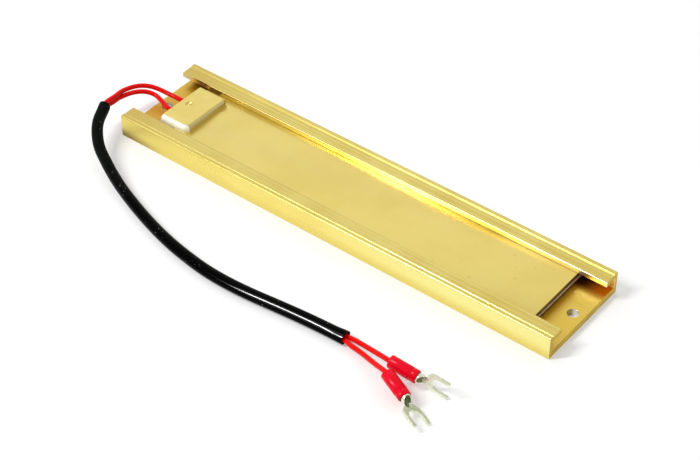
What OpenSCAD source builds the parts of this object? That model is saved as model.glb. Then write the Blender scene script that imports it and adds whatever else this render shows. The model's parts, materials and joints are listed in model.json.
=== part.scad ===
// Flat braking resistor: a mica-insulated ribbon element held in a lipped aluminium channel,
// with a pressed terminal cover and two sleeved leads that end in fork terminals.
// Millimetres, +Z up. The origin is the centre of the channel's underside, +X runs along the
// channel away from the leads.

/* [Channel] */
// Length of the channel
channel_l = 184; // [140:1:260]
// Width over the side walls
channel_w = 40; // [36:0.5:56]
// Thickness of the floor
floor_t = 3; // [2:0.1:5]
// Thickness of the side walls
wall_t = 1.5; // [1:0.1:2.5]
// Thickness of the inward lips
lip_t = 1.8; // [1.2:0.1:3]
// Clear width between the lips
mouth_w = 26.6; // [22:0.1:29]
// Width of the raised rim along each outer top edge
rim_w = 1.8; // [1:0.1:2.5]
// Height of the rim above the lips
rim_h = 0.25; // [0.1:0.05:0.6]
// Radius of the channel's outer edges
edge_r = 0.4; // [0.1:0.05:0.6]
// Diameter of the mounting holes
hole_d = 4; // [3:0.1:5]
// Distance from a channel end to its mounting hole
hole_inset = 4; // [3:0.1:5]

/* [Element] */
// Thickness of the mica sheet under the card
lower_mica_t = 1.3; // [0.8:0.1:2]
// Thickness of the card that carries the ribbon
card_t = 0.5; // [0.3:0.1:1]
// Thickness of the resistance ribbon
ribbon_t = 0.2; // [0.1:0.05:0.3]
// Width of the resistance ribbon
ribbon_w = 3.5; // [2:0.1:4]
// Bare card left beside the outermost ribbon runs
ribbon_edge = 1.25; // [0.8:0.05:2]
// Thickness of the mica sheet over the ribbon
upper_mica_t = 0.9; // [0.8:0.1:2]
// Thickness of the cover plate
plate_t = 0.9; // [0.6:0.1:1.5]
// Bare floor left at the plain end of the channel
bare_plain = 11.1; // [10:0.1:20]
// Bare floor left at the lead end of the channel
bare_lead = 11.5; // [10:0.1:20]

/* [Terminal cover] */
// Length of the cover along the channel
cover_l = 12.4; // [12:0.1:20]
// Height of the cover above the upper mica
cover_h = 3.4; // [3:0.1:4.5]
// Length of the plate that runs under the cover
cover_lap = 6; // [4:0.1:7]
// Sheet thickness of the cover
cover_t = 0.5; // [0.3:0.1:0.7]
// Radius of the cover's pressed top edges
cover_r = 1.5; // [1:0.1:1.8]
// Radius of the cover's upright corners
cover_corner_r = 2.6; // [2.2:0.1:4]
// Diameter of the pressed dimple
dimple_d = 1.8; // [1:0.1:2.2]

/* [Terminal tags] */
// Distance between the two tags
tag_pitch = 6; // [5.4:0.1:6.4]
// Width of a tag
tag_w = 4; // [3:0.1:4.2]
// Length of a tag
tag_l = 8.5; // [8:0.1:9]
// Thickness of a tag
tag_t = 0.3; // [0.2:0.05:0.5]
// Diameter of a rivet's shank
rivet_d = 1.2; // [0.8:0.1:1.6]
// Diameter of a rivet's heads
rivet_head_d = 2.4; // [2:0.1:2.8]
// Height of a rivet's heads
rivet_head_h = 0.4; // [0.2:0.05:0.45]

/* [Leads] */
// Outside diameter of a lead
lead_d = 1.75; // [1.5:0.05:1.75]
// Diameter of the bare strands in a lead
strand_d = 1.2; // [0.8:0.05:1.3]
// Width of the sleeve over the two leads
sleeve_w = 4.9; // [4.7:0.05:4.95]
// Height of the sleeve across them
sleeve_h = 4.1; // [3.9:0.05:4.1]
// Wall of the sleeve
sleeve_t = 0.4; // [0.3:0.05:0.45]

/* [Fork terminals] */
// Length of a terminal over all
fork_l = 21.2; // [20.5:0.1:24]
// Width over the prongs
fork_w = 7.2; // [6.6:0.1:8]
// Width of the slot, for the stud
slot_w = 4.7; // [3.2:0.1:5]
// Depth of the slot from the prong tips
slot_depth = 6.2; // [4.5:0.1:6.4]
// Thickness of the fork's sheet
fork_t = 0.8; // [0.6:0.05:1]
// Outside diameter of the crimp barrel
barrel_d = 3.4; // [3:0.1:3.5]
// Bore of the barrel's open mouth
barrel_bore = 2.3; // [2:0.05:2.4]
// Length of the insulating collar
collar_l = 10.5; // [9:0.1:11]
// Outside diameter of the insulating collar
collar_d = 4.6; // [4.3:0.1:4.6]

/* [Hidden] */

$fn = 48;
hull_fn = 32;
arc_steps = 4;
overlap = 0.01;

// Clearances between pieces that slide past or lie beside each other
lip_gap = 0.15;
plate_gap = 0.2;
mica_gap = 0.3;
card_gap = 0.5;
cover_gap = 0.3;
mouth_gap = 1.75;
slot_gap = 0.5;
rivet_gap = 0.05;
collar_gap = 0.05;
lead_gap = 0.2;
strand_gap = 0.05;

// Heights of the stack, from the channel's floor up
lower_mica_z = floor_t;
card_z = lower_mica_z + lower_mica_t;
ribbon_z = card_z + card_t;
tag_z = ribbon_z + ribbon_t;
upper_mica_z = ribbon_z + ribbon_t;
plate_z = upper_mica_z + upper_mica_t;
lip_z = plate_z + plate_t + lip_gap;
lip_top = lip_z + lip_t;
channel_h = lip_top + rim_h;
strand_z = tag_z + tag_t + strand_d / 2;

// Places along the channel
channel_x0 = -channel_l / 2;
channel_x1 = channel_l / 2;
cover_x0 = channel_x0 + bare_lead;
cover_x1 = cover_x0 + cover_l;
plate_x0 = cover_x1 - cover_lap;
plate_x1 = channel_x1 - bare_plain;
stack_inset = 0.2;
stack_x0 = cover_x0 + stack_inset;
layer_step = 0.1;
mica_x1 = plate_x1 - layer_step;
card_x1 = plate_x1 + layer_step;
tag_inset = 1.7;
tag_x0 = cover_x0 + tag_inset;
tag_x1 = tag_x0 + tag_l;
rivet_inset = 2;
rivet_x = tag_x1 - rivet_inset;
lead_inset = 1.2;
strand_x0 = cover_x0 + lead_inset;
strand_rivet_gap = 1;
strand_x1 = rivet_x - rivet_head_d / 2 - strand_rivet_gap;
lead_straight = 1.5;

// Widths across the channel
cavity_w = channel_w - 2 * wall_t;
plate_w = cavity_w - 2 * plate_gap;
mica_w = cavity_w - 2 * mica_gap;
card_w = cavity_w - 2 * card_gap;
cover_w = mouth_w - 2 * mouth_gap;
tag_slot_w = tag_w + 2 * slot_gap;
plate_notch_w = tag_pitch + tag_slot_w;

// Ribbon runs: three on each side of the middle, joined across the plain end
run_y0 = tag_pitch / 2;
run_y2 = card_w / 2 - ribbon_edge - ribbon_w / 2;
run_y1 = (run_y0 + run_y2) / 2;
ribbon_margin = 3;
ribbon_x0 = cover_x1 + ribbon_margin;
ribbon_x1 = plate_x1 - 2 * ribbon_margin - ribbon_w;
ribbon_end_x = plate_x1 - ribbon_margin;

// Channel edges
lip_r = 0.15;
rim_r = 0.6 * rim_h;
root_r = 0.25;

// Pressed dimple near the cover's open edge
dimple_inset = 3.4;
dimple_x = cover_x0 + dimple_inset;
dimple_depth = 0.35;

// Fork terminal, along its own axis from the rear of the collar. The barrel is crimped narrow on the
// strands and stays open at its mouth, where its underside runs on as a scoop into the flat fork
barrel_u0 = 5;
barrel_proud = 1.5;
barrel_u1 = collar_l + barrel_proud;
scoop_l = 1.8;
mouth_l = 2.4;
mouth_u0 = barrel_u1 - mouth_l;
crimp_bore = strand_d + 2 * strand_gap;
lead_in = 4.8;
strand_recess = 0.6;
collar_mouth = 0.5;
collar_r = 0.4;
fork_drop = 0.05;
scoop_edge = 0.1;
fork_z = -barrel_d / 2 - fork_drop;
neck_half = sqrt(pow(barrel_d / 2, 2) - pow(fork_z + fork_t, 2));
neck_straight = 0.6;
neck_flare = 2.6;
shoulder_u = barrel_u1 + neck_flare;
shoulder_r = 1.4;
tip_r = 0.6;
neck_r = 1.2;

// Cord routes, measured from the lead end of the channel and laid on z = 0
route_origin = [channel_x0, 0, 0];
sleeve_route = [
    [-7.3, -20.5, 10], [-3, -28.7, 9], [3.3, -35, 6.8], [11, -39.1, 4.6], [19.6, -43, 3.2],
    [28, -46.3, 2.6], [37, -49.5, 2.36], [45.9, -52.3, 2.3], [54.9, -54.6, 2.25], [63.8, -56.2, 2.2],
    [72.8, -57.3, 2.17], [82.4, -57.5, 2.15], [91.9, -56.9, 2.12], [100.9, -55.9, 2.1],
    [110.3, -54.9, 2.08], [119.3, -54.2, 2.07], [128.8, -53.7, 2.07]];
lead_a_out = [
    [5.7, 3.1, 6], [1.9, 2.6, 6.4], [-1.9, 1.7, 7.2], [-4.7, 0, 8.1], [-6.6, -2.7, 9],
    [-7.6, -6.3, 9.9], [-8, -10.5, 10.6], [-7.6, -14.8, 10.95]];
lead_b_out = [
    [7, -3.2, 5.8], [3.2, -1.9, 6.1], [-0.7, -1.3, 6.8], [-3.7, -2.7, 7.6], [-5.5, -5.5, 8.4],
    [-6.8, -8.8, 8.8], [-7.6, -12.7, 8.95], [-7.6, -16, 9]];
lead_a_end = [[132.5, -55.5, 2.35], [137.6, -56.5, 2.9], [144.1, -58.7, 4.3]];
lead_b_end = [[132.4, -52.9, 2.5], [138, -53.9, 3.6], [143.7, -55.2, 5]];
lead_spread = 0.9;

// The leads lie one above the other where they enter the sleeve and side by side where they leave it
lead_twist = 90;
twist_ease = 1.3;

// Each terminal's rear centre, from the lead end of the channel, and its roll, pitch and yaw
fork_a_pos = [150.9, -61.2, 6.3];
fork_a_turn = [-23.8, 9.1, -19.8];
fork_b_pos = [148.4, -56.3, 6.1];
fork_b_turn = [89, 6.7, 3.5];

gold = [0.87, 0.76, 0.38];
mica_brown = [0.36, 0.31, 0.2];
card_white = [0.85, 0.8, 0.75];
alloy = [0.62, 0.6, 0.56];
bright_tin = [0.8, 0.79, 0.75];
chromate = [0.86, 0.79, 0.52];
lead_red = [0.85, 0.04, 0.03];
collar_red = [0.88, 0.04, 0.16];
sleeve_black = [0.05, 0.05, 0.055];

// Geometry helpers

function unit(v) = v / norm(v);

// Points of an arc of radius r that rounds the corner b between a and c
function corner(a, b, c, r) =
    r <= 0 ? [b] :
    let (u = unit(a - b), v = unit(c - b), half = acos(u * v) / 2, reach = r / tan(half),
        mid = b + unit(u + v) * r / sin(half), p = b + u * reach - mid, q = b + v * reach - mid,
        sweep = 180 - 2 * half)
    [for (k = [0:arc_steps]) let (f = k / arc_steps)
        mid + (p * sin((1 - f) * sweep) + q * sin(f * sweep)) / sin(sweep)];

// Outline through corners given as [x, y, radius]
function rounded(c) =
    let (n = len(c), flat = [for (p = c) [p[0], p[1]]])
    [for (i = [0:n - 1]) each corner(flat[(i + n - 1) % n], flat[i], flat[(i + 1) % n], c[i][2])];

function mirrored(c) = [for (i = [len(c) - 1:-1:0]) [-c[i][0], c[i][1], c[i][2]]];

function tangent(p, i) = unit(p[min(i + 1, len(p) - 1)] - p[max(i - 1, 0)]);
function side(p, i) = unit(cross(tangent(p, i), [0, 0, 1]));

// Direction from the sleeve's middle line towards lead a
function spread(p, i) =
    let (s = side(p, i), a = lead_twist * pow(1 - i / (len(p) - 1), twist_ease))
    cos(a) * s + sin(a) * cross(s, tangent(p, i));

// Oval ring of n points about route point i, half a wide along e and half b high
function ring(p, i, e, a, b, n) =
    let (g = cross(e, tangent(p, i)))
    [for (k = [0:n - 1]) let (t = (k + 0.5) * 360 / n) p[i] + a * cos(t) * e + b * sin(t) * g];

// Side triangles between neighbouring rings, from vertex number base
function skin(rings, n, base, inward) =
    [for (i = [0:rings - 2], k = [0:n - 1])
        let (a = base + i * n + k, b = base + i * n + (k + 1) % n, c = b + n, d = a + n)
        each inward ? [[a, c, b], [a, d, c]] : [[a, b, c], [a, c, d]]];

// Ring-shaped end between the outer ring at vertex o and the inner ring at vertex q
function rim_faces(o, q, n, front) =
    [for (k = [0:n - 1]) let (j = (k + 1) % n)
        each front ? [[o + k, o + j, q + j], [o + k, q + j, q + k]]
                   : [[o + j, o + k, q + k], [o + j, q + k, q + j]]];

module cord(p, r, n) {
    m = len(p);
    polyhedron(
        points = [for (i = [0:m - 1]) each ring(p, i, side(p, i), r, r, n)],
        faces = concat(skin(m, n, 0, false), [[for (k = [n - 1:-1:0]) k]],
            [[for (k = [0:n - 1]) (m - 1) * n + k]]));
}

// Oval tube about two leads, half a wide and half b high with wall t
module hose(p, a, b, t, n) {
    m = len(p);
    polyhedron(
        points = concat([for (i = [0:m - 1]) each ring(p, i, spread(p, i), a, b, n)],
            [for (i = [0:m - 1]) each ring(p, i, spread(p, i), a - t, b - t, n)]),
        faces = concat(skin(m, n, 0, false), skin(m, n, m * n, true),
            rim_faces(0, m * n, n, false), rim_faces((m - 1) * n, (2 * m - 1) * n, n, true)));
}

// Routes in the part's frame

function placed(p) = [for (q = p) q + route_origin];
function axis_of(turn) = [cos(turn[2]) * cos(turn[1]), sin(turn[2]) * cos(turn[1]), -sin(turn[1])];
function into_fork(pos, turn) = [for (u = [0, lead_in]) route_origin + pos + u * axis_of(turn)];

sleeve_path = placed(sleeve_route);

// A lead leaves its tag, runs beside the other one through the sleeve and ends in its terminal
function lead_path(hand, out, end, pos, turn) = concat(
    [for (x = [strand_x0, strand_x0 - lead_straight]) [x, hand * tag_pitch / 2, strand_z]],
    placed(out),
    [for (i = [0:len(sleeve_path) - 1]) sleeve_path[i] + hand * lead_spread * spread(sleeve_path, i)],
    placed(end), into_fork(pos, turn));

// Channel

channel_half = [
    [channel_w / 2, 0, edge_r], [channel_w / 2, channel_h, edge_r],
    [channel_w / 2 - rim_w, channel_h, rim_r], [channel_w / 2 - rim_w, lip_top, 0],
    [mouth_w / 2, lip_top, lip_r], [mouth_w / 2, lip_z, lip_r],
    [cavity_w / 2, lip_z, root_r], [cavity_w / 2, floor_t, root_r]];

module channel() {
    color(gold)
    difference() {
        rotate([90, 0, 90])
            linear_extrude(height = channel_l, center = true)
                polygon(rounded(concat(channel_half, mirrored(channel_half))));
        for (hand = [-1, 1])
            translate([hand * (channel_x1 - hole_inset), 0, -overlap])
                cylinder(d = hole_d, h = floor_t + 2 * overlap);
    }
}

// Element

// Sheet of width w and thickness t from x0 to x1, about the channel's middle line
module sheet(w, x0, x1, z, t) {
    translate([x0, -w / 2, z])
        cube([x1 - x0, w, t]);
}

// Opening of width w for the tags, cut into a sheet from its end at x0
module tag_opening(w, x0, z, t) {
    sheet(w, x0 - overlap, tag_x1 + slot_gap, z - overlap, t + 2 * overlap);
}

module at_tags() {
    for (hand = [-1, 1])
        translate([0, hand * tag_pitch / 2, 0])
            children();
}

module rivet_holes(d) {
    at_tags()
        translate([rivet_x, 0, -overlap])
            cylinder(d = d, h = channel_h);
}

module lower_mica() {
    color(mica_brown)
    difference() {
        sheet(mica_w, stack_x0, mica_x1, lower_mica_z, lower_mica_t);
        rivet_holes(rivet_head_d + 2 * rivet_gap);
    }
}

module winding_card() {
    color(card_white)
    difference() {
        sheet(card_w, stack_x0, card_x1, card_z, card_t);
        rivet_holes(rivet_d + 2 * rivet_gap);
    }
}

// One straight stretch of ribbon from x0 to x1 at y
module ribbon_run(x0, x1, y) {
    translate([x0, y - ribbon_w / 2])
        square([x1 - x0, ribbon_w]);
}

// Cross link from x0, between the ribbon's middle lines at y0 and y1
module ribbon_link(x0, y0, y1) {
    translate([x0, y0 - ribbon_w / 2])
        square([ribbon_w, y1 - y0 + ribbon_w]);
}

// Runs on the far side of the middle
module ribbon_half() {
    ribbon_run(tag_x0, ribbon_x1, run_y0);
    ribbon_run(ribbon_x0, ribbon_x1, run_y1);
    ribbon_run(ribbon_x0, ribbon_end_x, run_y2);
    ribbon_link(ribbon_x1 - ribbon_w, run_y0, run_y1);
    ribbon_link(ribbon_x0, run_y1, run_y2);
    ribbon_link(ribbon_end_x - ribbon_w, 0, run_y2);
}

module resistance_ribbon() {
    color(alloy)
    difference() {
        translate([0, 0, ribbon_z])
            linear_extrude(height = ribbon_t) {
                ribbon_half();
                mirror([0, 1]) ribbon_half();
            }
        rivet_holes(rivet_d + 2 * rivet_gap);
    }
}

module upper_mica() {
    color(mica_brown)
    difference() {
        sheet(mica_w, stack_x0, mica_x1, upper_mica_z, upper_mica_t);
        at_tags()
            tag_opening(tag_slot_w, stack_x0, upper_mica_z, upper_mica_t);
    }
}

module cover_plate() {
    color(gold)
    difference() {
        sheet(plate_w, plate_x0, plate_x1, plate_z, plate_t);
        tag_opening(plate_notch_w, plate_x0, plate_z, plate_t);
    }
}

// Terminal tags and their rivets

module terminal_tag(hand) {
    color(bright_tin)
    difference() {
        translate([tag_x0, hand * tag_pitch / 2 - tag_w / 2, tag_z])
            cube([tag_l, tag_w, tag_t]);
        rivet_holes(rivet_d + 2 * rivet_gap);
    }
}

module terminal_tag_a() { terminal_tag(1); }
module terminal_tag_b() { terminal_tag(-1); }

module tag_rivets() {
    color(alloy)
    at_tags()
        translate([rivet_x, 0, 0]) {
            translate([0, 0, card_z - rivet_head_h])
                cylinder(d = rivet_head_d, h = rivet_head_h);
            translate([0, 0, card_z - overlap])
                cylinder(d = rivet_d, h = tag_z + tag_t - card_z + 2 * overlap);
            translate([0, 0, tag_z + tag_t])
                cylinder(d = rivet_head_d, h = rivet_head_h);
        }
}

// Terminal cover

// Upright round corner with its top edge rounded
module cover_post(r, top_r, h) {
    rotate_extrude($fn = hull_fn)
        polygon(concat([[0, 0], [r, 0]], corner([r, 0], [r, h], [0, h], top_r), [[0, h]]));
}

// Rounded block, open form of the cover, from x0 to the cover's plain end
module cover_block(x0, x1, half_w, h, top_r, corner_r) {
    hull() {
        for (hand = [-1, 1])
            translate([x1 - corner_r, hand * (half_w - corner_r), 0])
                cover_post(corner_r, top_r, h);
        translate([x0, 0, 0])
            rotate([90, 0, 90])
                linear_extrude(height = overlap)
                    polygon(concat([[-half_w, 0], [half_w, 0]],
                        corner([half_w, 0], [half_w, h], [0, h], top_r),
                        corner([0, h], [-half_w, h], [-half_w, 0], top_r)));
    }
}

// The cover stands on the plate, and on the upper mica ahead of the plate's end
module terminal_cover() {
    half_w = cover_w / 2;
    color(chromate)
    difference() {
        translate([0, 0, plate_z])
            cover_block(cover_x0, cover_x1, half_w, cover_h, cover_r, cover_corner_r);
        translate([0, 0, plate_z - overlap])
            cover_block(cover_x0 - cover_t, cover_x1 - cover_t, half_w - cover_t,
                cover_h - cover_t + overlap, cover_r - cover_t, cover_corner_r - cover_t);
        translate([0, 0, -overlap])
            sheet(mouth_w, plate_x0 - cover_gap, cover_x1 + cover_gap, plate_z, plate_t + overlap);
        translate([dimple_x, 0, plate_z + cover_h + dimple_d / 2 - dimple_depth])
            sphere(d = dimple_d, $fn = hull_fn);
    }
}

// Leads and their sleeve

module lead(path) {
    color(lead_red)
    cord(path, lead_d / 2, 8);
}

module lead_a() { lead(lead_path(1, lead_a_out, lead_a_end, fork_a_pos, fork_a_turn)); }
module lead_b() { lead(lead_path(-1, lead_b_out, lead_b_end, fork_b_pos, fork_b_turn)); }

module lead_sleeve() {
    color(sleeve_black)
    hose(sleeve_path, sleeve_w / 2, sleeve_h / 2, sleeve_t, 12);
}

// Bare strands laid on a tag
module tag_strands(hand) {
    color(bright_tin)
    translate([strand_x0, hand * tag_pitch / 2, strand_z])
        rotate([0, 90, 0])
            cylinder(d = strand_d, h = strand_x1 - strand_x0);
}

module tag_strands_a() { tag_strands(1); }
module tag_strands_b() { tag_strands(-1); }

// Fork terminals

module at_fork(pos, turn) {
    translate(route_origin + pos)
        rotate(turn)
            children();
}

module fork_outline() {
    half = fork_w / 2;
    base_u = fork_l - slot_depth + slot_w / 2;
    edge = [
        [barrel_u1, -neck_half, 0], [barrel_u1 + neck_straight, -neck_half, neck_r],
        [shoulder_u, -half, shoulder_r], [fork_l, -half, tip_r]];
    far_edge = [for (i = [len(edge) - 1:-1:0]) [edge[i][0], -edge[i][1], edge[i][2]]];
    difference() {
        polygon(rounded(concat(edge, far_edge)));
        translate([base_u, 0])
            circle(d = slot_w);
        translate([base_u, -slot_w / 2])
            square([fork_l, slot_w]);
    }
}

// Round bar about the terminal's axis, of radius r0 at u0 and r1 at u1
module bar(u0, u1, r0, r1) {
    translate([u0, 0, 0])
        rotate([0, 90, 0])
            cylinder(r1 = r0, r2 = r1, h = u1 - u0);
}

module fork() {
    barrel_r = barrel_d / 2;
    scoop_u = barrel_u1 + scoop_l;
    scoop_drop = barrel_r - fork_z - fork_t - scoop_edge;
    color(bright_tin)
    difference() {
        union() {
            translate([0, 0, fork_z])
                linear_extrude(height = fork_t)
                    fork_outline();
            bar(barrel_u0, scoop_u, barrel_r, barrel_r);
        }
        bar(barrel_u0 - overlap, mouth_u0 + overlap, crimp_bore / 2, crimp_bore / 2);
        bar(mouth_u0, scoop_u + overlap, barrel_bore / 2, barrel_bore / 2);
        translate([barrel_u1, -barrel_d, barrel_r])
            rotate([0, atan2(scoop_drop, scoop_l), 0])
                cube([norm([scoop_l, scoop_drop]), 2 * barrel_d, 2 * barrel_d]);
    }
}

// Collar that grips the barrel at the front and takes the lead at the rear
module fork_collar() {
    front_r = barrel_d / 2 + collar_gap;
    rear_r = lead_d / 2 + lead_gap;
    outer_r = collar_d / 2;
    color(collar_red)
    rotate([0, 90, 0])
        rotate_extrude()
            polygon(concat(
                [[rear_r + collar_mouth, 0]],
                corner([rear_r, 0], [outer_r, 0], [outer_r, collar_l], collar_r),
                corner([outer_r, 0], [outer_r, collar_l], [front_r, collar_l], collar_r),
                [[front_r, collar_l], [front_r, barrel_u0], [rear_r, barrel_u0],
                    [rear_r, collar_mouth]]));
}

module crimp_strands() {
    color(bright_tin)
    bar(lead_in, barrel_u1 - strand_recess, strand_d / 2, strand_d / 2);
}

module fork_a() { at_fork(fork_a_pos, fork_a_turn) fork(); }
module fork_b() { at_fork(fork_b_pos, fork_b_turn) fork(); }
module fork_collar_a() { at_fork(fork_a_pos, fork_a_turn) fork_collar(); }
module fork_collar_b() { at_fork(fork_b_pos, fork_b_turn) fork_collar(); }
module crimp_strands_a() { at_fork(fork_a_pos, fork_a_turn) crimp_strands(); }
module crimp_strands_b() { at_fork(fork_b_pos, fork_b_turn) crimp_strands(); }

channel();
lower_mica();
winding_card();
resistance_ribbon();
upper_mica();
cover_plate();
terminal_tag_a();
terminal_tag_b();
tag_rivets();
terminal_cover();
lead_a();
lead_b();
tag_strands_a();
tag_strands_b();
lead_sleeve();
fork_a();
fork_b();
fork_collar_a();
fork_collar_b();
crimp_strands_a();
crimp_strands_b();
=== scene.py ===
"""Looks of a flat braking resistor with sleeved leads and fork terminals.

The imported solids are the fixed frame. Each sub-assembly is a class that builds finer meshes where its
solids lie and dresses them with procedural finishes. All lengths are metres, +Z is up and +X runs along
the channel away from the leads.
"""

import json
import logging
import math
from dataclasses import dataclass, field
from enum import Enum
from typing import Iterable, Optional, Sequence

import bmesh
import bpy
from mathutils import Matrix, Vector

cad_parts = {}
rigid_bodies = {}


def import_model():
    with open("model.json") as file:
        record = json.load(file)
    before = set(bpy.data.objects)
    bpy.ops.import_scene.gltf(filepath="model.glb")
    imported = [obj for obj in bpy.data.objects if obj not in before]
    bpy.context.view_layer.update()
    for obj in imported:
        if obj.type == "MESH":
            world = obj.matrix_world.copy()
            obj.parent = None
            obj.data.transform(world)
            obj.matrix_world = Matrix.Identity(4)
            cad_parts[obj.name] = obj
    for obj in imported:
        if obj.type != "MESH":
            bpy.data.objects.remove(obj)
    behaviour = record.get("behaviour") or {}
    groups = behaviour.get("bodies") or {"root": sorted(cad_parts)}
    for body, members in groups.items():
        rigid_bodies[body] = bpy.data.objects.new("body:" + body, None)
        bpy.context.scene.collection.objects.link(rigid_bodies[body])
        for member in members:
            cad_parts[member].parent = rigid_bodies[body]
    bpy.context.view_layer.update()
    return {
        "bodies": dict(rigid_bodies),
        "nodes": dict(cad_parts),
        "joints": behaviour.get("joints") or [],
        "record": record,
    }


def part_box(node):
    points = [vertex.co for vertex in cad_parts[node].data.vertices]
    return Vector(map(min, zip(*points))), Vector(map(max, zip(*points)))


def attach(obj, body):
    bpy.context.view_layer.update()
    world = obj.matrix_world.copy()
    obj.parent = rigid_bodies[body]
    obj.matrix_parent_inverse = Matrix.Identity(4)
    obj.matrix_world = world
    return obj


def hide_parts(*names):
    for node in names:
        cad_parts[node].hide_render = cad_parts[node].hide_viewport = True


LOG = logging.getLogger("braking_resistor")
BODY = "root"
ALONG = "along"
MM = 0.001
TINY = 1e-7

Pair = tuple[float, float]
Corner = tuple[float, float, float]
Point = tuple[float, float, float]
Colour = tuple[float, float, float]
Faces = list[tuple[int, ...]]
Piece = bpy.types.Object
Finish = bpy.types.Material
Socket = bpy.types.NodeSocket


def srgb(red: int, green: int, blue: int) -> Colour:
    """Turn a display colour into the linear values that shaders use.

    Args:
        red: Red, 0 to 255.
        green: Green, 0 to 255.
        blue: Blue, 0 to 255.

    Returns:
        The linear colour.
    """

    def linear(value: int) -> float:
        """Linear value of one display channel."""
        share = value / 255
        return share / 12.92 if share <= 0.04045 else ((share + 0.055) / 1.055) ** 2.4

    return linear(red), linear(green), linear(blue)


def mm(start: float, end: float) -> Pair:
    """A span given in millimetres."""
    return start * MM, end * MM


# Mesh helpers

PRESSED_DEG = 38.0
ROUND_DEG = 50.0
HOSE_DEG = 60.0


def round_corner(before: Vector, at: Vector, after: Vector, radius: float, steps: int) -> list[Vector]:
    """Points of the arc that rounds one corner of a flat outline.

    Args:
        before: The corner before.
        at: The corner to round.
        after: The corner after.
        radius: Radius of the arc, 0 for a sharp corner.
        steps: Number of chords in the arc.

    Returns:
        The arc's points, or the corner itself.
    """
    if radius <= TINY:
        return [at.copy()]
    u = (before - at).normalized()
    v = (after - at).normalized()
    half = u.angle(v) / 2
    reach = radius / math.tan(half)
    centre = at + (u + v).normalized() * (radius / math.sin(half))
    first = at + u * reach - centre
    last = at + v * reach - centre
    sweep = math.pi - 2 * half
    points = []
    for step in range(steps + 1):
        share = step / steps
        mixed = first * math.sin((1 - share) * sweep) + last * math.sin(share * sweep)
        points.append(centre + mixed / math.sin(sweep))
    return points


def rounded_outline(corners: Sequence[Corner], steps: int) -> list[Vector]:
    """Closed flat outline through corners given as (x, y, radius).

    Args:
        corners: The corners, counter-clockwise.
        steps: Number of chords in each arc.

    Returns:
        The outline's points.
    """
    flat = [Vector((x, y)) for x, y, _ in corners]
    points = []
    for i, (_, _, radius) in enumerate(corners):
        points += round_corner(flat[i - 1], flat[i], flat[(i + 1) % len(flat)], radius, steps)
    return points


def inset_corners(corners: Sequence[Corner], inset: float) -> list[Corner]:
    """Move every side of a counter-clockwise outline inwards.

    Args:
        corners: The corners as (x, y, radius).
        inset: Distance that each side moves.

    Returns:
        The new corners, with radii that keep the arcs parallel.
    """
    moved = []
    for i, (x, y, radius) in enumerate(corners):
        at = Vector((x, y))
        before = (at - Vector(corners[i - 1][:2])).normalized()
        after = (Vector(corners[(i + 1) % len(corners)][:2]) - at).normalized()
        turn = before.x * after.y - before.y * after.x
        inward_a = Vector((-before.y, before.x))
        inward_b = Vector((-after.y, after.x))
        shift = (inward_a + inward_b) * (inset / (1 + inward_a.dot(inward_b)))
        new_radius = 0.0 if radius <= TINY else max(radius - math.copysign(inset, turn), 2 * TINY)
        moved.append((at.x + shift.x, at.y + shift.y, new_radius))
    return moved


def ring_faces(rings: int, count: int, closed: bool = True) -> Faces:
    """Side faces between neighbouring rings of points.

    Args:
        rings: Number of rings, stored one after another.
        count: Points in a ring.
        closed: Whether each ring closes on itself.

    Returns:
        The quads.
    """
    last = count if closed else count - 1
    faces = []
    for i in range(rings - 1):
        for k in range(last):
            j = (k + 1) % count
            faces.append((i * count + k, i * count + j, (i + 1) * count + j, (i + 1) * count + k))
    return faces


def add_object(name: str, data: bpy.types.ID) -> Piece:
    """Put a mesh, lamp or camera into the scene.

    Args:
        name: Name of the object.
        data: What it holds.

    Returns:
        The new object, at the origin.
    """
    item = bpy.data.objects.new(name, data)
    bpy.context.scene.collection.objects.link(item)
    return item


def make_object(name: str, points: Iterable[Sequence[float]], faces: Faces) -> Piece:
    """Make a mesh object at the origin, with outward faces.

    Args:
        name: Name of the object.
        points: Its points in the part's frame.
        faces: Its faces, as point numbers.

    Returns:
        The new object, linked to the scene.
    """
    mesh = bpy.data.meshes.new(name)
    mesh.from_pydata([tuple(p) for p in points], [], faces)
    built = bmesh.new()
    built.from_mesh(mesh)
    bmesh.ops.remove_doubles(built, verts=built.verts, dist=TINY)
    bmesh.ops.recalc_face_normals(built, faces=built.faces)
    built.to_mesh(mesh)
    built.free()
    return add_object(name, mesh)


def bake_modifiers(piece: Piece) -> None:
    """Replace an object's mesh by what its modifiers make of it.

    Args:
        piece: The object.
    """
    bpy.context.view_layer.update()
    graph = bpy.context.evaluated_depsgraph_get()
    baked = bpy.data.meshes.new_from_object(piece.evaluated_get(graph))
    piece.modifiers.clear()
    piece.data = baked


def soften(piece: Piece, sharp_deg: float = 32.0) -> None:
    """Shade an object smooth, with hard edges where its faces turn sharply.

    Args:
        piece: The object.
        sharp_deg: Angle between faces from which an edge is hard.
    """
    built = bmesh.new()
    built.from_mesh(piece.data)
    limit = math.radians(sharp_deg)
    for face in built.faces:
        face.smooth = True
    for edge in built.edges:
        edge.smooth = len(edge.link_faces) == 2 and edge.calc_face_angle(0.0) < limit
    built.to_mesh(piece.data)
    built.free()


def bevel_edges(piece: Piece, width: float, segments: int, over_deg: float = 40.0) -> None:
    """Round an object's sharp edges and bake the result.

    Args:
        piece: The object.
        width: Width of the rounding.
        segments: Chords across it.
        over_deg: Angle from which an edge counts as sharp.
    """
    bevel = piece.modifiers.new("edges", "BEVEL")
    bevel.width = width
    bevel.segments = segments
    bevel.limit_method = "ANGLE"
    bevel.angle_limit = math.radians(over_deg)
    bake_modifiers(piece)


class Blend(Enum):
    """How one solid is joined with another."""

    CUT = "DIFFERENCE"
    ADD = "UNION"


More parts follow.
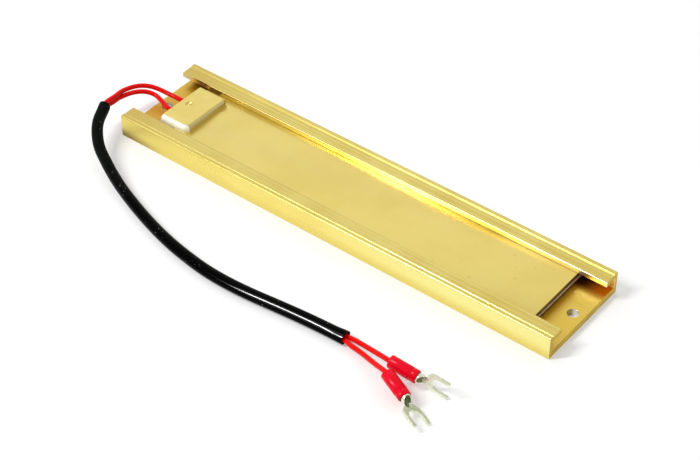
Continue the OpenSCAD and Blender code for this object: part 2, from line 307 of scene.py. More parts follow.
def combine(piece: Piece, other: Piece, how: Blend) -> None:
    """Join or cut a solid with another one, which is then removed.

    Args:
        piece: The solid that stays.
        other: The solid that is used up.
        how: Whether it is added or cut away.
    """
    step = piece.modifiers.new("solid", "BOOLEAN")
    step.operation = how.value
    step.solver = "EXACT"
    step.object = other
    bake_modifiers(piece)
    bpy.data.objects.remove(other)


def prism(name: str, outline: Sequence[Vector], low: float, high: float) -> Piece:
    """Upright solid over a flat outline.

    Args:
        name: Name of the object.
        outline: Closed outline in X and Y.
        low: Height of its lower face.
        high: Height of its upper face.

    Returns:
        The solid.
    """
    count = len(outline)
    points = [(p.x, p.y, z) for z in (low, high) for p in outline]
    faces = ring_faces(2, count) + [tuple(range(count)), tuple(range(count, 2 * count))]
    return make_object(name, points, faces)


def lathe(name: str, profile: Sequence[Pair], sides: int) -> Piece:
    """Solid of revolution about X.

    Args:
        name: Name of the object.
        profile: Closed profile as (distance along X, radius).
        sides: Number of sides round the axis.

    Returns:
        The solid.
    """
    count = len(profile)
    points = []
    for side in range(sides):
        turn = 2 * math.pi * side / sides
        points += [(x, r * math.cos(turn), r * math.sin(turn)) for x, r in profile]
    faces = ring_faces(sides, count)
    last = (sides - 1) * count
    faces += [(last + k, last + (k + 1) % count, (k + 1) % count, k) for k in range(count)]
    return make_object(name, points, faces)


def dress(piece: Piece, node: str, slot: str, *finishes: Finish) -> Piece:
    """Give a finished piece its materials and its place on the part.

    Args:
        piece: The finished piece.
        node: The solid that it stands for.
        slot: The record's material slot; not used.
        finishes: Its materials, in slot order.

    Returns:
        The piece.
    """
    piece.data.materials.clear()
    for finish in finishes:
        piece.data.materials.append(finish)
    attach(piece, BODY)
    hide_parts(node)
    LOG.info("%s: %d faces", piece.name, len(piece.data.polygons))
    return piece


def dress_solid(frame: dict, node: str, finish: Finish) -> None:
    """Put a finish on a solid whose own shape is shown.

    Args:
        frame: The loaded frame.
        node: Name of the solid.
        finish: Its material.
    """
    solid = frame["nodes"][node]
    solid.data.materials.clear()
    solid.data.materials.append(finish)
    LOG.info("%s: solid kept", node)


# Routes


def smooth_route(points: Sequence[Vector], steps: int) -> list[Vector]:
    """Even curve through given route points.

    Args:
        points: The route's points.
        steps: Points made for each stretch of the route.

    Returns:
        Points along the curve, ends included.
    """
    ends = [2 * points[0] - points[1], *points, 2 * points[-1] - points[-2]]
    curve = []
    for i in range(1, len(ends) - 2):
        a, b, c, d = ends[i - 1 : i + 3]
        for step in range(steps):
            t = step / steps
            square = 2 * a - 5 * b + 4 * c - d
            cube = 3 * b - a - 3 * c + d
            curve.append(0.5 * (2 * b + (c - a) * t + square * t**2 + cube * t**3))
    curve.append(points[-1].copy())
    return curve


def tangent_at(points: Sequence[Vector], i: int) -> Vector:
    """Direction of a route at one of its points."""
    return (points[min(i + 1, len(points) - 1)] - points[max(i - 1, 0)]).normalized()


def side_at(points: Sequence[Vector], i: int) -> Vector:
    """Level direction square to a route at one of its points."""
    return tangent_at(points, i).cross(Vector((0, 0, 1))).normalized()


def distances(points: Sequence[Vector]) -> list[float]:
    """Distance of each point of a route from its start.

    Args:
        points: The route.

    Returns:
        The distances along it.
    """
    travelled = [0.0]
    for a, b in zip(points, points[1:]):
        travelled.append(travelled[-1] + (b - a).length)
    return travelled


def swept_ring(
    points: Sequence[Vector], i: int, across: Vector, radii: Pair, sides: int
) -> list[Vector]:
    """Ring of points square to a route.

    Args:
        points: The route.
        i: Number of the route point at the ring's centre.
        across: Direction of the ring's first radius.
        radii: Radius along that direction, and square to it.
        sides: Points in the ring.

    Returns:
        The ring's points.
    """
    up = across.cross(tangent_at(points, i)).normalized()
    turns = [2 * math.pi * (k + 0.5) / sides for k in range(sides)]
    return [points[i] + across * (math.cos(a) * radii[0]) + up * (math.sin(a) * radii[1]) for a in turns]


def add_length_map(piece: Piece, stations: Sequence[float], sides: int) -> None:
    """Store how far along its route each point of a swept piece lies.

    Args:
        piece: The swept piece, its points in rings.
        stations: Distance along the route of each ring.
        sides: Points in a ring.
    """
    values = [stations[i // sides] for i in range(len(piece.data.vertices))]
    along = piece.data.attributes.new(ALONG, "FLOAT", "POINT")
    along.data.foreach_set("value", values)


# Finishes

FINE = 4.0
MEDIUM = 3.0
COARSE = 2.0
EVEN = (1.0, 1.0, 1.0)
WHOLE = (0.0, 1.0)
MOST_NOISE = (0.3, 0.7)
MID_NOISE = (0.35, 0.65)


@dataclass(frozen=True)
class Fade:
    """A tone that a finish turns to along an axis, or where its faces turn that way.

    The second axis and span in within, where given, keep it to one end or side.
    """

    axis: str
    span: Pair
    tone: Colour
    kind: str = "Object"
    within: Optional[tuple[str, Pair]] = None


@dataclass(frozen=True)
class Specks:
    """Small spots that lie in loose patches."""

    scale: float
    size: Pair
    patch_scale: float
    patch_span: Pair
    patch_detail: float
    stretch: Point = EVEN


class Graph:
    """Builder for one material's nodes."""

    def __init__(self, name: str) -> None:
        """Start a material with one principled shader.

        Args:
            name: Name of the material.
        """
        self.material = bpy.data.materials.new(name)
        self.material.use_nodes = True
        self.tree = self.material.node_tree
        self.tree.nodes.clear()
        self.shader = self.add("BsdfPrincipled")
        self.link(self.shader.outputs["BSDF"], self.add("OutputMaterial").inputs["Surface"])

    def add(self, kind: str) -> bpy.types.Node:
        """Add a shader node of a kind, such as Mapping."""
        return self.tree.nodes.new(f"ShaderNode{kind}")

    def link(self, source: Socket, target: Socket) -> None:
        """Link an output to an input."""
        self.tree.links.new(source, target)

    def feed(self, socket: Socket, value: object) -> None:
        """Link a socket to another one, or set it to a constant.

        Args:
            socket: The input.
            value: Another socket, a number or a colour.
        """
        if isinstance(value, Socket):
            self.link(value, socket)
        elif isinstance(value, tuple) and len(value) == 3 and socket.type == "RGBA":
            socket.default_value = (*value, 1.0)
        else:
            socket.default_value = value

    def surface(self, **values: object) -> None:
        """Set the shader's sockets.

        Args:
            values: Values by socket name, in lower case with underscores.
        """
        for name, value in values.items():
            found = next(s for s in self.shader.inputs if s.name.lower().replace(" ", "_") == name)
            self.feed(found, value)

    def place(self, scale: Point) -> Socket:
        """Object coordinates, scaled.

        Args:
            scale: Factor for each axis.

        Returns:
            The coordinates.
        """
        mapping = self.add("Mapping")
        mapping.inputs["Scale"].default_value = scale
        self.link(self.add("TexCoord").outputs["Object"], mapping.inputs["Vector"])
        return mapping.outputs["Vector"]

    def axis(self, name: str, kind: str = "Object") -> Socket:
        """One axis of the object coordinates, or of the surface's normal.

        Args:
            name: X, Y or Z.
            kind: Object for the coordinates, Normal for the normal.

        Returns:
            The value on that axis.
        """
        parts = self.add("SeparateXYZ")
        self.link(self.add("TexCoord").outputs[kind], parts.inputs["Vector"])
        return parts.outputs[name]

    def facing(self, direction: Point) -> Socket:
        """How much the surface faces a direction.

        Args:
            direction: The direction, of length 1.

        Returns:
            A value from -1 to 1.
        """
        node = self.add("VectorMath")
        node.operation = "DOT_PRODUCT"
        node.inputs[1].default_value = direction
        self.link(self.add("TexCoord").outputs["Normal"], node.inputs[0])
        return node.outputs["Value"]

    def attribute(self, name: str) -> Socket:
        """A value stored on the mesh.

        Args:
            name: Name of the attribute.

        Returns:
            The value.
        """
        node = self.add("Attribute")
        node.attribute_name = name
        return node.outputs["Fac"]

    def noise(self, scale: float, detail: float = MEDIUM, stretch: Point = EVEN) -> Socket:
        """Noise over the object.

        Args:
            scale: Features for each metre, before the stretch.
            detail: Octaves of finer noise.
            stretch: Factor for each axis.

        Returns:
            A value from 0 to 1.
        """
        node = self.add("TexNoise")
        node.inputs["Scale"].default_value = scale
        node.inputs["Detail"].default_value = detail
        self.link(self.place(stretch), node.inputs["Vector"])
        return node.outputs["Fac"]

    def span(self, value: Socket, source: Pair, target: Pair = WHOLE) -> Socket:
        """Map a value from one range to another, smoothly and within limits.

        Args:
            value: The value.
            source: Its range.
            target: The range that it is mapped to.

        Returns:
            The mapped value.
        """
        node = self.add("MapRange")
        node.interpolation_type = "SMOOTHSTEP"
        for socket, limit in zip(list(node.inputs)[1:5], (*source, *target)):
            socket.default_value = limit
        self.link(value, node.inputs["Value"])
        return node.outputs["Result"]

    def sum(self, kind: str, a: object, b: object) -> Socket:
        """Result of one sum.

        Args:
            kind: The sum, such as MULTIPLY.
            a: First number or socket.
            b: Second number or socket.

        Returns:
            The result.
        """
        node = self.add("Math")
        node.operation = kind
        self.feed(node.inputs[0], a)
        self.feed(node.inputs[1], b)
        return node.outputs["Value"]

    def weighed(self, a: Socket, b: Socket, share: float) -> Socket:
        """Sum of two values, each by its share.

        Args:
            a: First value.
            b: Second value.
            share: Share of the first, from 0 to 1.

        Returns:
            The sum.
        """
        part = self.sum("MULTIPLY", a, share)
        rest = self.sum("MULTIPLY", b, 1 - share)
        return self.sum("ADD", part, rest)

    def specked(self, specks: Specks) -> Socket:
        """Where a surface has specks.

        Args:
            specks: Their sizes.

        Returns:
            A value from 0 to 1.
        """
        node = self.add("TexVoronoi")
        node.inputs["Scale"].default_value = specks.scale
        self.link(self.place(specks.stretch), node.inputs["Vector"])
        spots = self.span(node.outputs["Distance"], specks.size)
        patches = self.span(self.noise(specks.patch_scale, specks.patch_detail), specks.patch_span)
        return self.sum("MULTIPLY", spots, patches)

    def mix(self, share: Socket, a: object, b: object) -> Socket:
        """Colour between two others.

        Args:
            share: Share of the second, from 0 to 1.
            a: First colour or socket.
            b: Second colour or socket.

        Returns:
            The colour.
        """
        node = self.add("Mix")
        node.data_type = "RGBA"
        self.feed(node.inputs["Factor"], share)
        self.feed(node.inputs[6], a)
        self.feed(node.inputs[7], b)
        return node.outputs[2]

    def faded(self, colour: Socket, fades: Sequence[Fade]) -> Socket:
        """A colour with fades laid over it.

        Args:
            colour: The colour.
            fades: The fades, in order.

        Returns:
            The faded colour.
        """
        for fade in fades:
            share = self.span(self.axis(fade.axis, fade.kind), fade.span)
            if fade.within is not None:
                axis, span = fade.within
                share = self.sum("MULTIPLY", share, self.span(self.axis(axis), span))
            colour = self.mix(share, colour, fade.tone)
        return colour

    def bump(self, height: Socket, depth: float, strength: float) -> None:
        """Raise the surface by a height from 0 to 1.

        Args:
            height: The height.
            depth: Depth of the relief, in metres.
            strength: How strongly it shows.
        """
        node = self.add("Bump")
        node.inputs["Distance"].default_value = depth
        node.inputs["Strength"].default_value = strength
        self.link(height, node.inputs["Height"])
        self.link(node.outputs["Normal"], self.shader.inputs["Normal"])


@dataclass(frozen=True)
class AnodisedGold:
    """Satin gold under a clear anodic layer, with die lines along X where it was extruded."""

    name: str
    tone: Colour = srgb(238, 219, 120)
    dark_tone: Colour = srgb(218, 192, 84)
    contrast: Pair = (0.36, 0.64)
    roughness: Pair = (0.24, 0.34)
    line_scale: Point = (5.0, 1500.0, 1500.0)
    line_share: float = 0.6
    line_depth: float = 4e-6
    line_strength: float = 0.6
    cloud_scale: float = 55.0
    stain: Colour = srgb(150, 118, 40)
    stain_share: float = 0.35
    stain_marks: Specks = Specks(170.0, (0.16, 0.03), 26.0, (0.52, 0.66), COARSE, (1.0, 1.6, 1.0))
    clear_layer: float = 0.6
    layer_roughness: float = 0.12
    layer_ior: float = 1.65
    fades: tuple[Fade, ...] = ()

    def make(self) -> Finish:
        """Build the material.

        Returns:
            The material.
        """
        graph = Graph(self.name)
        lines = graph.noise(1.0, FINE, self.line_scale)
        shade = graph.weighed(lines, graph.noise(self.cloud_scale, FINE), self.line_share)
        colour = graph.mix(graph.span(shade, self.contrast), self.dark_tone, self.tone)
        marks = graph.sum("MULTIPLY", graph.specked(self.stain_marks), self.stain_share)
        colour = graph.mix(marks, colour, self.stain)
        graph.surface(
            base_color=graph.faded(colour, self.fades),
            metallic=1.0,
            roughness=graph.span(shade, MOST_NOISE, self.roughness),
            coat_weight=self.clear_layer,
            coat_roughness=self.layer_roughness,
            coat_ior=self.layer_ior,
        )
        graph.bump(shade, self.line_depth, self.line_strength)
        return graph.material


@dataclass(frozen=True)
class SawnEnd:
    """Cut end of the anodised extrusion, with fine saw lines."""

    name: str = "sawn_gold_end"
    tone: Colour = srgb(202, 174, 50)
    dark_tone: Colour = srgb(168, 138, 24)
    roughness: Pair = (0.36, 0.5)
    rough_span: Pair = (0.2, 0.8)
    line_scale: Point = (500.0, 160.0, 2600.0)
    line_depth: float = 1.5e-5
    line_strength: float = 0.5

    def make(self) -> Finish:
        """Build the material.

        Returns:
            The material.
        """
        graph = Graph(self.name)
        lines = graph.noise(1.0, COARSE, self.line_scale)
        graph.surface(
            base_color=graph.mix(graph.span(lines, MOST_NOISE), self.dark_tone, self.tone),
            metallic=1.0,
            roughness=graph.span(lines, self.rough_span, self.roughness),
        )
        graph.bump(lines, self.line_depth, self.line_strength)
        return graph.material


@dataclass(frozen=True)
class BareMetal:
    """Uncoated or tinned metal with a slightly uneven grain."""

    name: str
    tone: Colour = srgb(226, 224, 214)
    dark_tone: Colour = srgb(186, 183, 168)
    roughness: Pair = (0.26, 0.42)
    grain: float = 900.0
    grain_share: float = 0.4
    cloud_ratio: float = 5.0
    depth: float = 6e-6
    strength: float = 0.5
    metal: float = 1.0
    fades: tuple[Fade, ...] = ()

    def make(self) -> Finish:
        """Build the material.

        Returns:
            The material.
        """
        graph = Graph(self.name)
        grain = graph.noise(self.grain, FINE)
        clouds = graph.noise(self.grain / self.cloud_ratio, COARSE)
        shade = graph.weighed(grain, clouds, self.grain_share)
        colour = graph.mix(graph.span(shade, MID_NOISE), self.dark_tone, self.tone)
        graph.surface(
            base_color=graph.faded(colour, self.fades),
            metallic=self.metal,
            roughness=graph.span(shade, MOST_NOISE, self.roughness),
        )
        graph.bump(grain, self.depth, self.strength)
        return graph.material


@dataclass(frozen=True)
class LayeredBoard:
    """Mica or board whose leaves show as lines along its edges."""

    name: str
    tone: Colour
    dark_tone: Colour
    roughness: float = 0.55
    leaf_scale: Point = (60.0, 60.0, 9000.0)
    leaf_share: float = 0.5
    flake_scale: float = 420.0
    depth: float = 3e-5
    strength: float = 0.5
    fades: tuple[Fade, ...] = ()

    def make(self) -> Finish:
        """Build the material.

        Returns:
            The material.
        """
        graph = Graph(self.name)
        leaves = graph.noise(1.0, MEDIUM, self.leaf_scale)
        shade = graph.weighed(leaves, graph.noise(self.flake_scale, FINE), self.leaf_share)
        colour = graph.mix(graph.span(shade, MID_NOISE), self.dark_tone, self.tone)
        graph.surface(base_color=graph.faded(colour, self.fades), roughness=self.roughness)
        graph.bump(shade, self.depth, self.strength)
        return graph.material


@dataclass(frozen=True)
class CordSkin:
    """Smooth insulation that dulls towards the start of its route, with a painted highlight: a clear coat
    laid only where the surface faces one given direction, between the key lamp and the camera, along one
    stretch of the route.
    """

    name: str
    tone: Colour
    dull_tone: Colour
    roughness: Pair
    dull_span: Pair
    uneven: Pair = mm(-8, 8)
    cloud_scale: float = 240.0
    specular: float = 0.5
    dust: Optional[Colour] = None
    dust_marks: Specks = Specks(620.0, (0.17, 0.07), 130.0, (0.46, 0.58), 1.0)
    # Painted highlight: gloss, its stretch along the route and the facing direction lay a clear coat on one
    # stretch and one facing only.
    gloss: float = 0.0
    gloss_span: Pair = mm(103, 115)
    gloss_roughness: float = 0.12
    sheen_facing: Point = (0.034, -0.576, 0.818)
    sheen_facing_span: Pair = (0.93, 0.99)
    grain: float = 700.0
    depth: float = 2.5e-5
    strength: float = 0.06

    def make(self) -> Finish:
        """Build the material.

        Returns:
            The material.
        """
        graph = Graph(self.name)
        along = graph.attribute(ALONG)
        uneven = graph.span(graph.noise(self.cloud_scale), MOST_NOISE, self.uneven)
        fresh = graph.span(graph.sum("ADD", along, uneven), self.dull_span)
        colour = graph.mix(fresh, self.dull_tone, self.tone)
        if self.dust is not None:
            colour = graph.mix(graph.specked(self.dust_marks), colour, self.dust)
        graph.surface(
            base_color=colour,
            roughness=graph.span(fresh, WHOLE, self.roughness),
            specular_ior_level=self.specular,
            coat_roughness=self.gloss_roughness,
        )
        if self.gloss > 0:
            # Painted highlight: coat only where the surface faces the lamp's mirror direction, over one
            # stretch.
            sheen_facing = graph.span(graph.facing(self.sheen_facing), self.sheen_facing_span)
            sheen_stretch = graph.span(along, self.gloss_span, (0.0, self.gloss))
            graph.surface(coat_weight=graph.sum("MULTIPLY", sheen_facing, sheen_stretch))
        graph.bump(graph.noise(self.grain, COARSE), self.depth, self.strength)
        return graph.material


@dataclass(frozen=True)
class MouldedCollar:
    """Glossy crimson plastic with faint flow clouds."""

    name: str = "crimson_collar"
    tone: Colour = srgb(236, 6, 40)
    dark_tone: Colour = srgb(222, 4, 32)
    roughness: Pair = (0.18, 0.24)
    specular: float = 0.12
    flow_scale: float = 260.0
    grain: float = 900.0
    depth: float = 2e-5
    strength: float = 0.3

    def make(self) -> Finish:
        """Build the material.

        Returns:
            The material.
        """
        graph = Graph(self.name)
        clouds = graph.noise(self.flow_scale)
        graph.surface(
            base_color=graph.mix(graph.span(clouds, MOST_NOISE), self.dark_tone, self.tone),
            roughness=graph.span(clouds, MOST_NOISE, self.roughness),
            specular_ior_level=self.specular,
        )
        graph.bump(graph.noise(self.grain, COARSE), self.depth, self.strength)
        return graph.material


# Sub-assemblies


class ChannelFinish(Enum):
    """The finishes of the channel's faces."""

    TOP = "top"
    WALL = "wall"
    EDGE = "edge"
    LIP = "lip"
    SAWN = "sawn"
    DRILLED = "drilled"
    INSIDE = "inside"


@dataclass
class LippedChannel:
    """The gold extrusion that carries everything."""

    wall: float = 1.5 * MM
    floor: float = 3.0 * MM
    lip: float = 1.9 * MM
    mouth: float = 26.6 * MM
    rim_width: float = 1.8 * MM
    rim_height: float = 0.25 * MM
    edge_radius: float = 0.4 * MM
    lip_radius: float = 0.3 * MM
    lip_foot_radius: float = 0.05 * MM
    root_radius: float = 0.25 * MM
    rim_radius: float = 0.1 * MM
    rim_slope: Pair = mm(0.05, 0.42)
    bead: Pair = mm(0.075, 0.06)
    bead_radius: float = 0.02 * MM
    end_break: float = 0.1 * MM
    hole_radius: float = 2.0 * MM
    hole_inset: float = 4.0 * MM
    hole_break: float = 0.06 * MM
    break_reach: float = 1.5
    level: float = 0.9
    sideways: float = 0.5
    square: float = 0.99
    share_in: float = 0.9
    arc_steps: int = 8
    hole_sides: int = 64

    def half_section(self, width: float, height: float) -> list[Corner]:
        """Corners of the section's far half, from the floor round to the cavity.

        Args:
            width: Width of the whole section.
            height: Height of the section up to its rim.

        Returns:
            The corners as (y, z, radius).
        """
        out = width / 2
        cavity = out - self.wall
        peak = out - self.rim_width + self.rim_slope[0]
        lip_top = height - self.rim_height
        lip_under = lip_top - self.lip
        return [
            (out, 0.0, self.edge_radius),
            (out, height, self.edge_radius),
            (peak + self.bead[0], height, self.bead_radius),
            (peak, height + self.bead[1], self.bead_radius),
            (out - self.rim_width - self.rim_slope[1], lip_top, self.rim_radius),
            (self.mouth / 2, lip_top, self.lip_radius),
            (self.mouth / 2, lip_under, self.lip_foot_radius),
            (cavity, lip_under, self.root_radius),
            (cavity, self.floor, self.root_radius),
        ]

    def build_body(self) -> Piece:
        """Loft the section between its two slightly broken ends.

        Returns:
            The extrusion.
        """
        low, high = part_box("channel")
        half = self.half_section(high.y - low.y, high.z)
        corners = half + [(-y, z, r) for y, z, r in reversed(half)]
        full = rounded_outline(corners, self.arc_steps)
        broken = rounded_outline(inset_corners(corners, self.end_break), self.arc_steps)
        stations = [
            (low.x, broken),
            (low.x + self.end_break, full),
            (high.x - self.end_break, full),
            (high.x, broken),
        ]
        points = [(x, p.x, p.y) for x, outline in stations for p in outline]
        count = len(full)
        total = len(points)
        faces = ring_faces(len(stations), count)
        faces += [tuple(range(count)), tuple(range(total - count, total))]
        return make_object("channel_extrusion", points, faces)

    def hole_places(self) -> Pair:
        """Where along X the two mounting holes are."""
        low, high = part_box("channel")
        return low.x + self.hole_inset, high.x - self.hole_inset

    def drill(self, body: Piece) -> None:
        """Cut the two mounting holes, with a light break at both mouths.

        Args:
            body: The extrusion.
        """
        r, b, over = self.hole_radius, self.hole_break, 1.0 * MM
        profile = [
            (-over, 0.0),
            (-over, r + b + over),
            (b, r),
            (self.floor - b, r),
            (self.floor + over, r + b + over),
            (self.floor + over, 0.0),
        ]
        for x in self.hole_places():
            drill = lathe("drill", profile, self.hole_sides)
            drill.data.transform(Matrix.Translation((x, 0, 0)) @ Matrix.Rotation(-math.pi / 2, 4, "Y"))
            combine(body, drill, Blend.CUT)

    def finish_of(self, face: bpy.types.MeshPolygon) -> ChannelFinish:
        """Which finish a face of the channel has.

        Args:
            face: The face.

        Returns:
            Its finish.
        """
        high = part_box("channel")[1]
        flat = Vector(face.center[:2])
        reach = self.hole_radius + self.break_reach * self.hole_break
        at_hole = any((flat - Vector((x, 0))).length < reach for x in self.hole_places())
        if at_hole and abs(face.normal.z) < self.level:
            return ChannelFinish.DRILLED
        if abs(face.normal.x) > self.square:
            return ChannelFinish.SAWN
        lip_under = high.z - self.rim_height - self.lip
        inside = abs(face.center.y) < high.y - self.share_in * self.wall
        if inside and self.share_in * self.floor < face.center.z < lip_under + TINY:
            return ChannelFinish.INSIDE
        at_mouth = abs(face.center.y) < self.mouth / 2 + self.lip_radius
        if inside and at_mouth and abs(face.normal.y) > self.sideways:
            return ChannelFinish.LIP
        if abs(face.normal.y) > self.square and not inside:
            return ChannelFinish.WALL
        return ChannelFinish.TOP if abs(face.normal.z) > self.square else ChannelFinish.EDGE

    def finishes(self) -> dict[ChannelFinish, Finish]:
        """Make the channel's materials.

        Returns:
            The material of each finish.
        """
        # Painted shade: the top turns darker towards the lead end, where less light falls.
        lead_end_painted_shade = Fade("X", mm(-55, -90), srgb(216, 188, 84))
        return {
            ChannelFinish.TOP: AnodisedGold("gold_top", fades=(lead_end_painted_shade,)).make(),
            ChannelFinish.WALL: AnodisedGold(
                "gold_wall",
                tone=srgb(232, 215, 118),
                dark_tone=srgb(224, 204, 102),
                line_share=0.35,
                line_depth=1e-6,
                clear_layer=0.3,
                fades=(
                    # Painted light: the outer wall turns paler towards the plain end.
                    Fade("X", mm(-10, 50), srgb(231, 222, 138)),
                    # Painted shade: darker towards the lead end.
                    Fade("X", mm(-25, -82), srgb(219, 199, 98)),
                    # Painted shade: darker towards the bottom.
                    Fade("Z", mm(5.5, 0.5), srgb(215, 196, 98)),
                    # Painted shade: a dark lower corner at the lead end, standing in for a dark reflection
                    # there.
                    Fade("Z", mm(4.8, 0.3), srgb(122, 98, 12), within=("X", mm(-68, -92))),
                ),
            ).make(),
            ChannelFinish.EDGE: AnodisedGold("gold_edge", line_depth=5e-7, clear_layer=1.0).make(),
            ChannelFinish.LIP: AnodisedGold(
                "gold_lip",
                # Painted light: the lip's inner faces get a paler, whiter tone than the top, for the light
                # they catch.
                tone=srgb(228, 212, 152),
                dark_tone=srgb(220, 200, 130),
                line_depth=5e-7,
                clear_layer=0.35,
                fades=(
                    # Painted highlight: the inner faces turn near white towards the plain end.
                    Fade("X", mm(45, 72), srgb(255, 246, 228)),
                    # Painted shade: a dark band on the inner faces near the lead end.
                    Fade("X", mm(-77, -81), srgb(78, 52, 34)),
                    # Lighter again towards the very lead end, so the painted shade stays a band.
                    Fade("X", mm(-83.5, -88), srgb(190, 170, 110)),
                ),
            ).make(),
            ChannelFinish.SAWN: SawnEnd().make(),
            ChannelFinish.DRILLED: BareMetal(
                "drilled_aluminium",
                tone=srgb(250, 246, 236),
                dark_tone=srgb(226, 220, 204),
                roughness=(0.14, 0.24),
                metal=0.6,
                # Painted shade: the hole faces that turn towards the plain end are darker.
                fades=(Fade("X", (0.3, 0.8), srgb(150, 128, 60), kind="Normal"),),
            ).make(),
            ChannelFinish.INSIDE: AnodisedGold(
                "gold_cavity",
                tone=srgb(246, 220, 112),
                dark_tone=srgb(236, 204, 86),
                roughness=(0.52, 0.62),
                line_share=0.3,
                clear_layer=0.2,
                fades=(
                    # Painted shade: darker and more orange from the stack's end inwards.
                    Fade("X", mm(86, 81.5), srgb(216, 168, 40)),
                    # Painted shade: deep orange on the far side under the far lip.
                    Fade("Y", mm(9.8, 14.2), srgb(228, 144, 10)),
                    # Painted shade: a near-black far corner at the plain end, by the stack under the far
                    # lip.
                    Fade("Y", mm(10.2, 14.0), srgb(112, 58, 6), within=("X", mm(88.4, 82.6))),
                    # Back to a plain gold towards the lead end, over the painted shade above.
                    Fade("X", mm(-50, -70), srgb(228, 190, 80)),
                    # Painted shade: darker under the far lip at the lead end.
                    Fade("Y", mm(10, 14.5), srgb(180, 134, 10), within=("X", mm(-60, -80))),
                    # At the open lead end the floor turns back to gold, ending the painted shade above.
                    Fade("X", mm(-88.2, -90.8), srgb(228, 196, 84)),
                    # Painted light: the far inner wall turns pale near the plain end, as if lit through the
                    # open end.
                    Fade("Y", mm(17.8, 18.4), srgb(255, 238, 140), within=("X", mm(80, 88))),
                    # Painted shade: the far inner wall turns dark at the lead end, under the far lip.
                    Fade("Y", mm(17.0, 18.2), srgb(100, 72, 24), within=("X", mm(-70, -84))),
                ),
            ).make(),
        }

    def build(self) -> None:
        """Make the channel and dress it."""
        body = self.build_body()
        self.drill(body)
        soften(body)
        finishes = self.finishes()
        order = list(ChannelFinish)
        dress(body, "channel", "gold_anodised", *(finishes[kind] for kind in order))
        for face in body.data.polygons:
            face.material_index = order.index(self.finish_of(face))


@dataclass
class ElementStack:
    """The plate over the element and the layers under it."""

    edge_break: float = 0.12 * MM
    edge_steps: int = 2
    cut_face: float = 0.9
    tag_gap: float = 0.5 * MM
    tag_room: float = 5.5 * MM

    def build_plate(self) -> None:
        """Make the cover plate with broken edges and its opening over the tags."""
        low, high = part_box("cover_plate")
        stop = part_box("terminal_tag_a")[1].x + self.tag_gap
        near = [(low.x, -self.tag_room), (low.x, low.y), (high.x, low.y)]
        far = [(high.x, high.y), (low.x, high.y), (low.x, self.tag_room)]
        opening = [(stop, self.tag_room), (stop, -self.tag_room)]
        plate = prism("cover_plate_sheet", [Vector(p) for p in near + far + opening], low.z, high.z)
        bevel_edges(plate, self.edge_break, self.edge_steps)
        soften(plate)
        skin = AnodisedGold(
            "gold_plate",
            tone=srgb(242, 220, 118),
            dark_tone=srgb(236, 212, 108),
            roughness=(0.27, 0.32),
            line_share=0.12,
            line_depth=1e-6,
            stain_share=0.2,
        ).make()
        edge = BareMetal("plate_cut_edge", tone=srgb(176, 150, 78), dark_tone=srgb(140, 114, 52)).make()
        dress(plate, "cover_plate", "gold_anodised", skin, edge)
        for face in plate.data.polygons:
            face.material_index = 1 if abs(face.normal.x) > self.cut_face else 0

    def build(self, frame: dict) -> None:
        """Make the plate and dress the layers that show at its ends.

        Args:
            frame: The loaded frame.
        """
        self.build_plate()
        lit_end = Fade("X", mm(-70, -76), srgb(164, 122, 46))
        upper = LayeredBoard("upper_mica", srgb(92, 70, 30), srgb(58, 42, 14), fades=(lit_end,))
        for node, finish in (
            ("upper_mica", upper),
            ("lower_mica", LayeredBoard("lower_mica", srgb(84, 56, 16), srgb(50, 30, 6))),
            ("winding_card", LayeredBoard("winding_board", srgb(226, 202, 176), srgb(186, 156, 126))),
            ("resistance_ribbon", BareMetal("ribbon_alloy", srgb(170, 166, 158), srgb(120, 116, 108))),
        ):
            dress_solid(frame, node, finish.make())


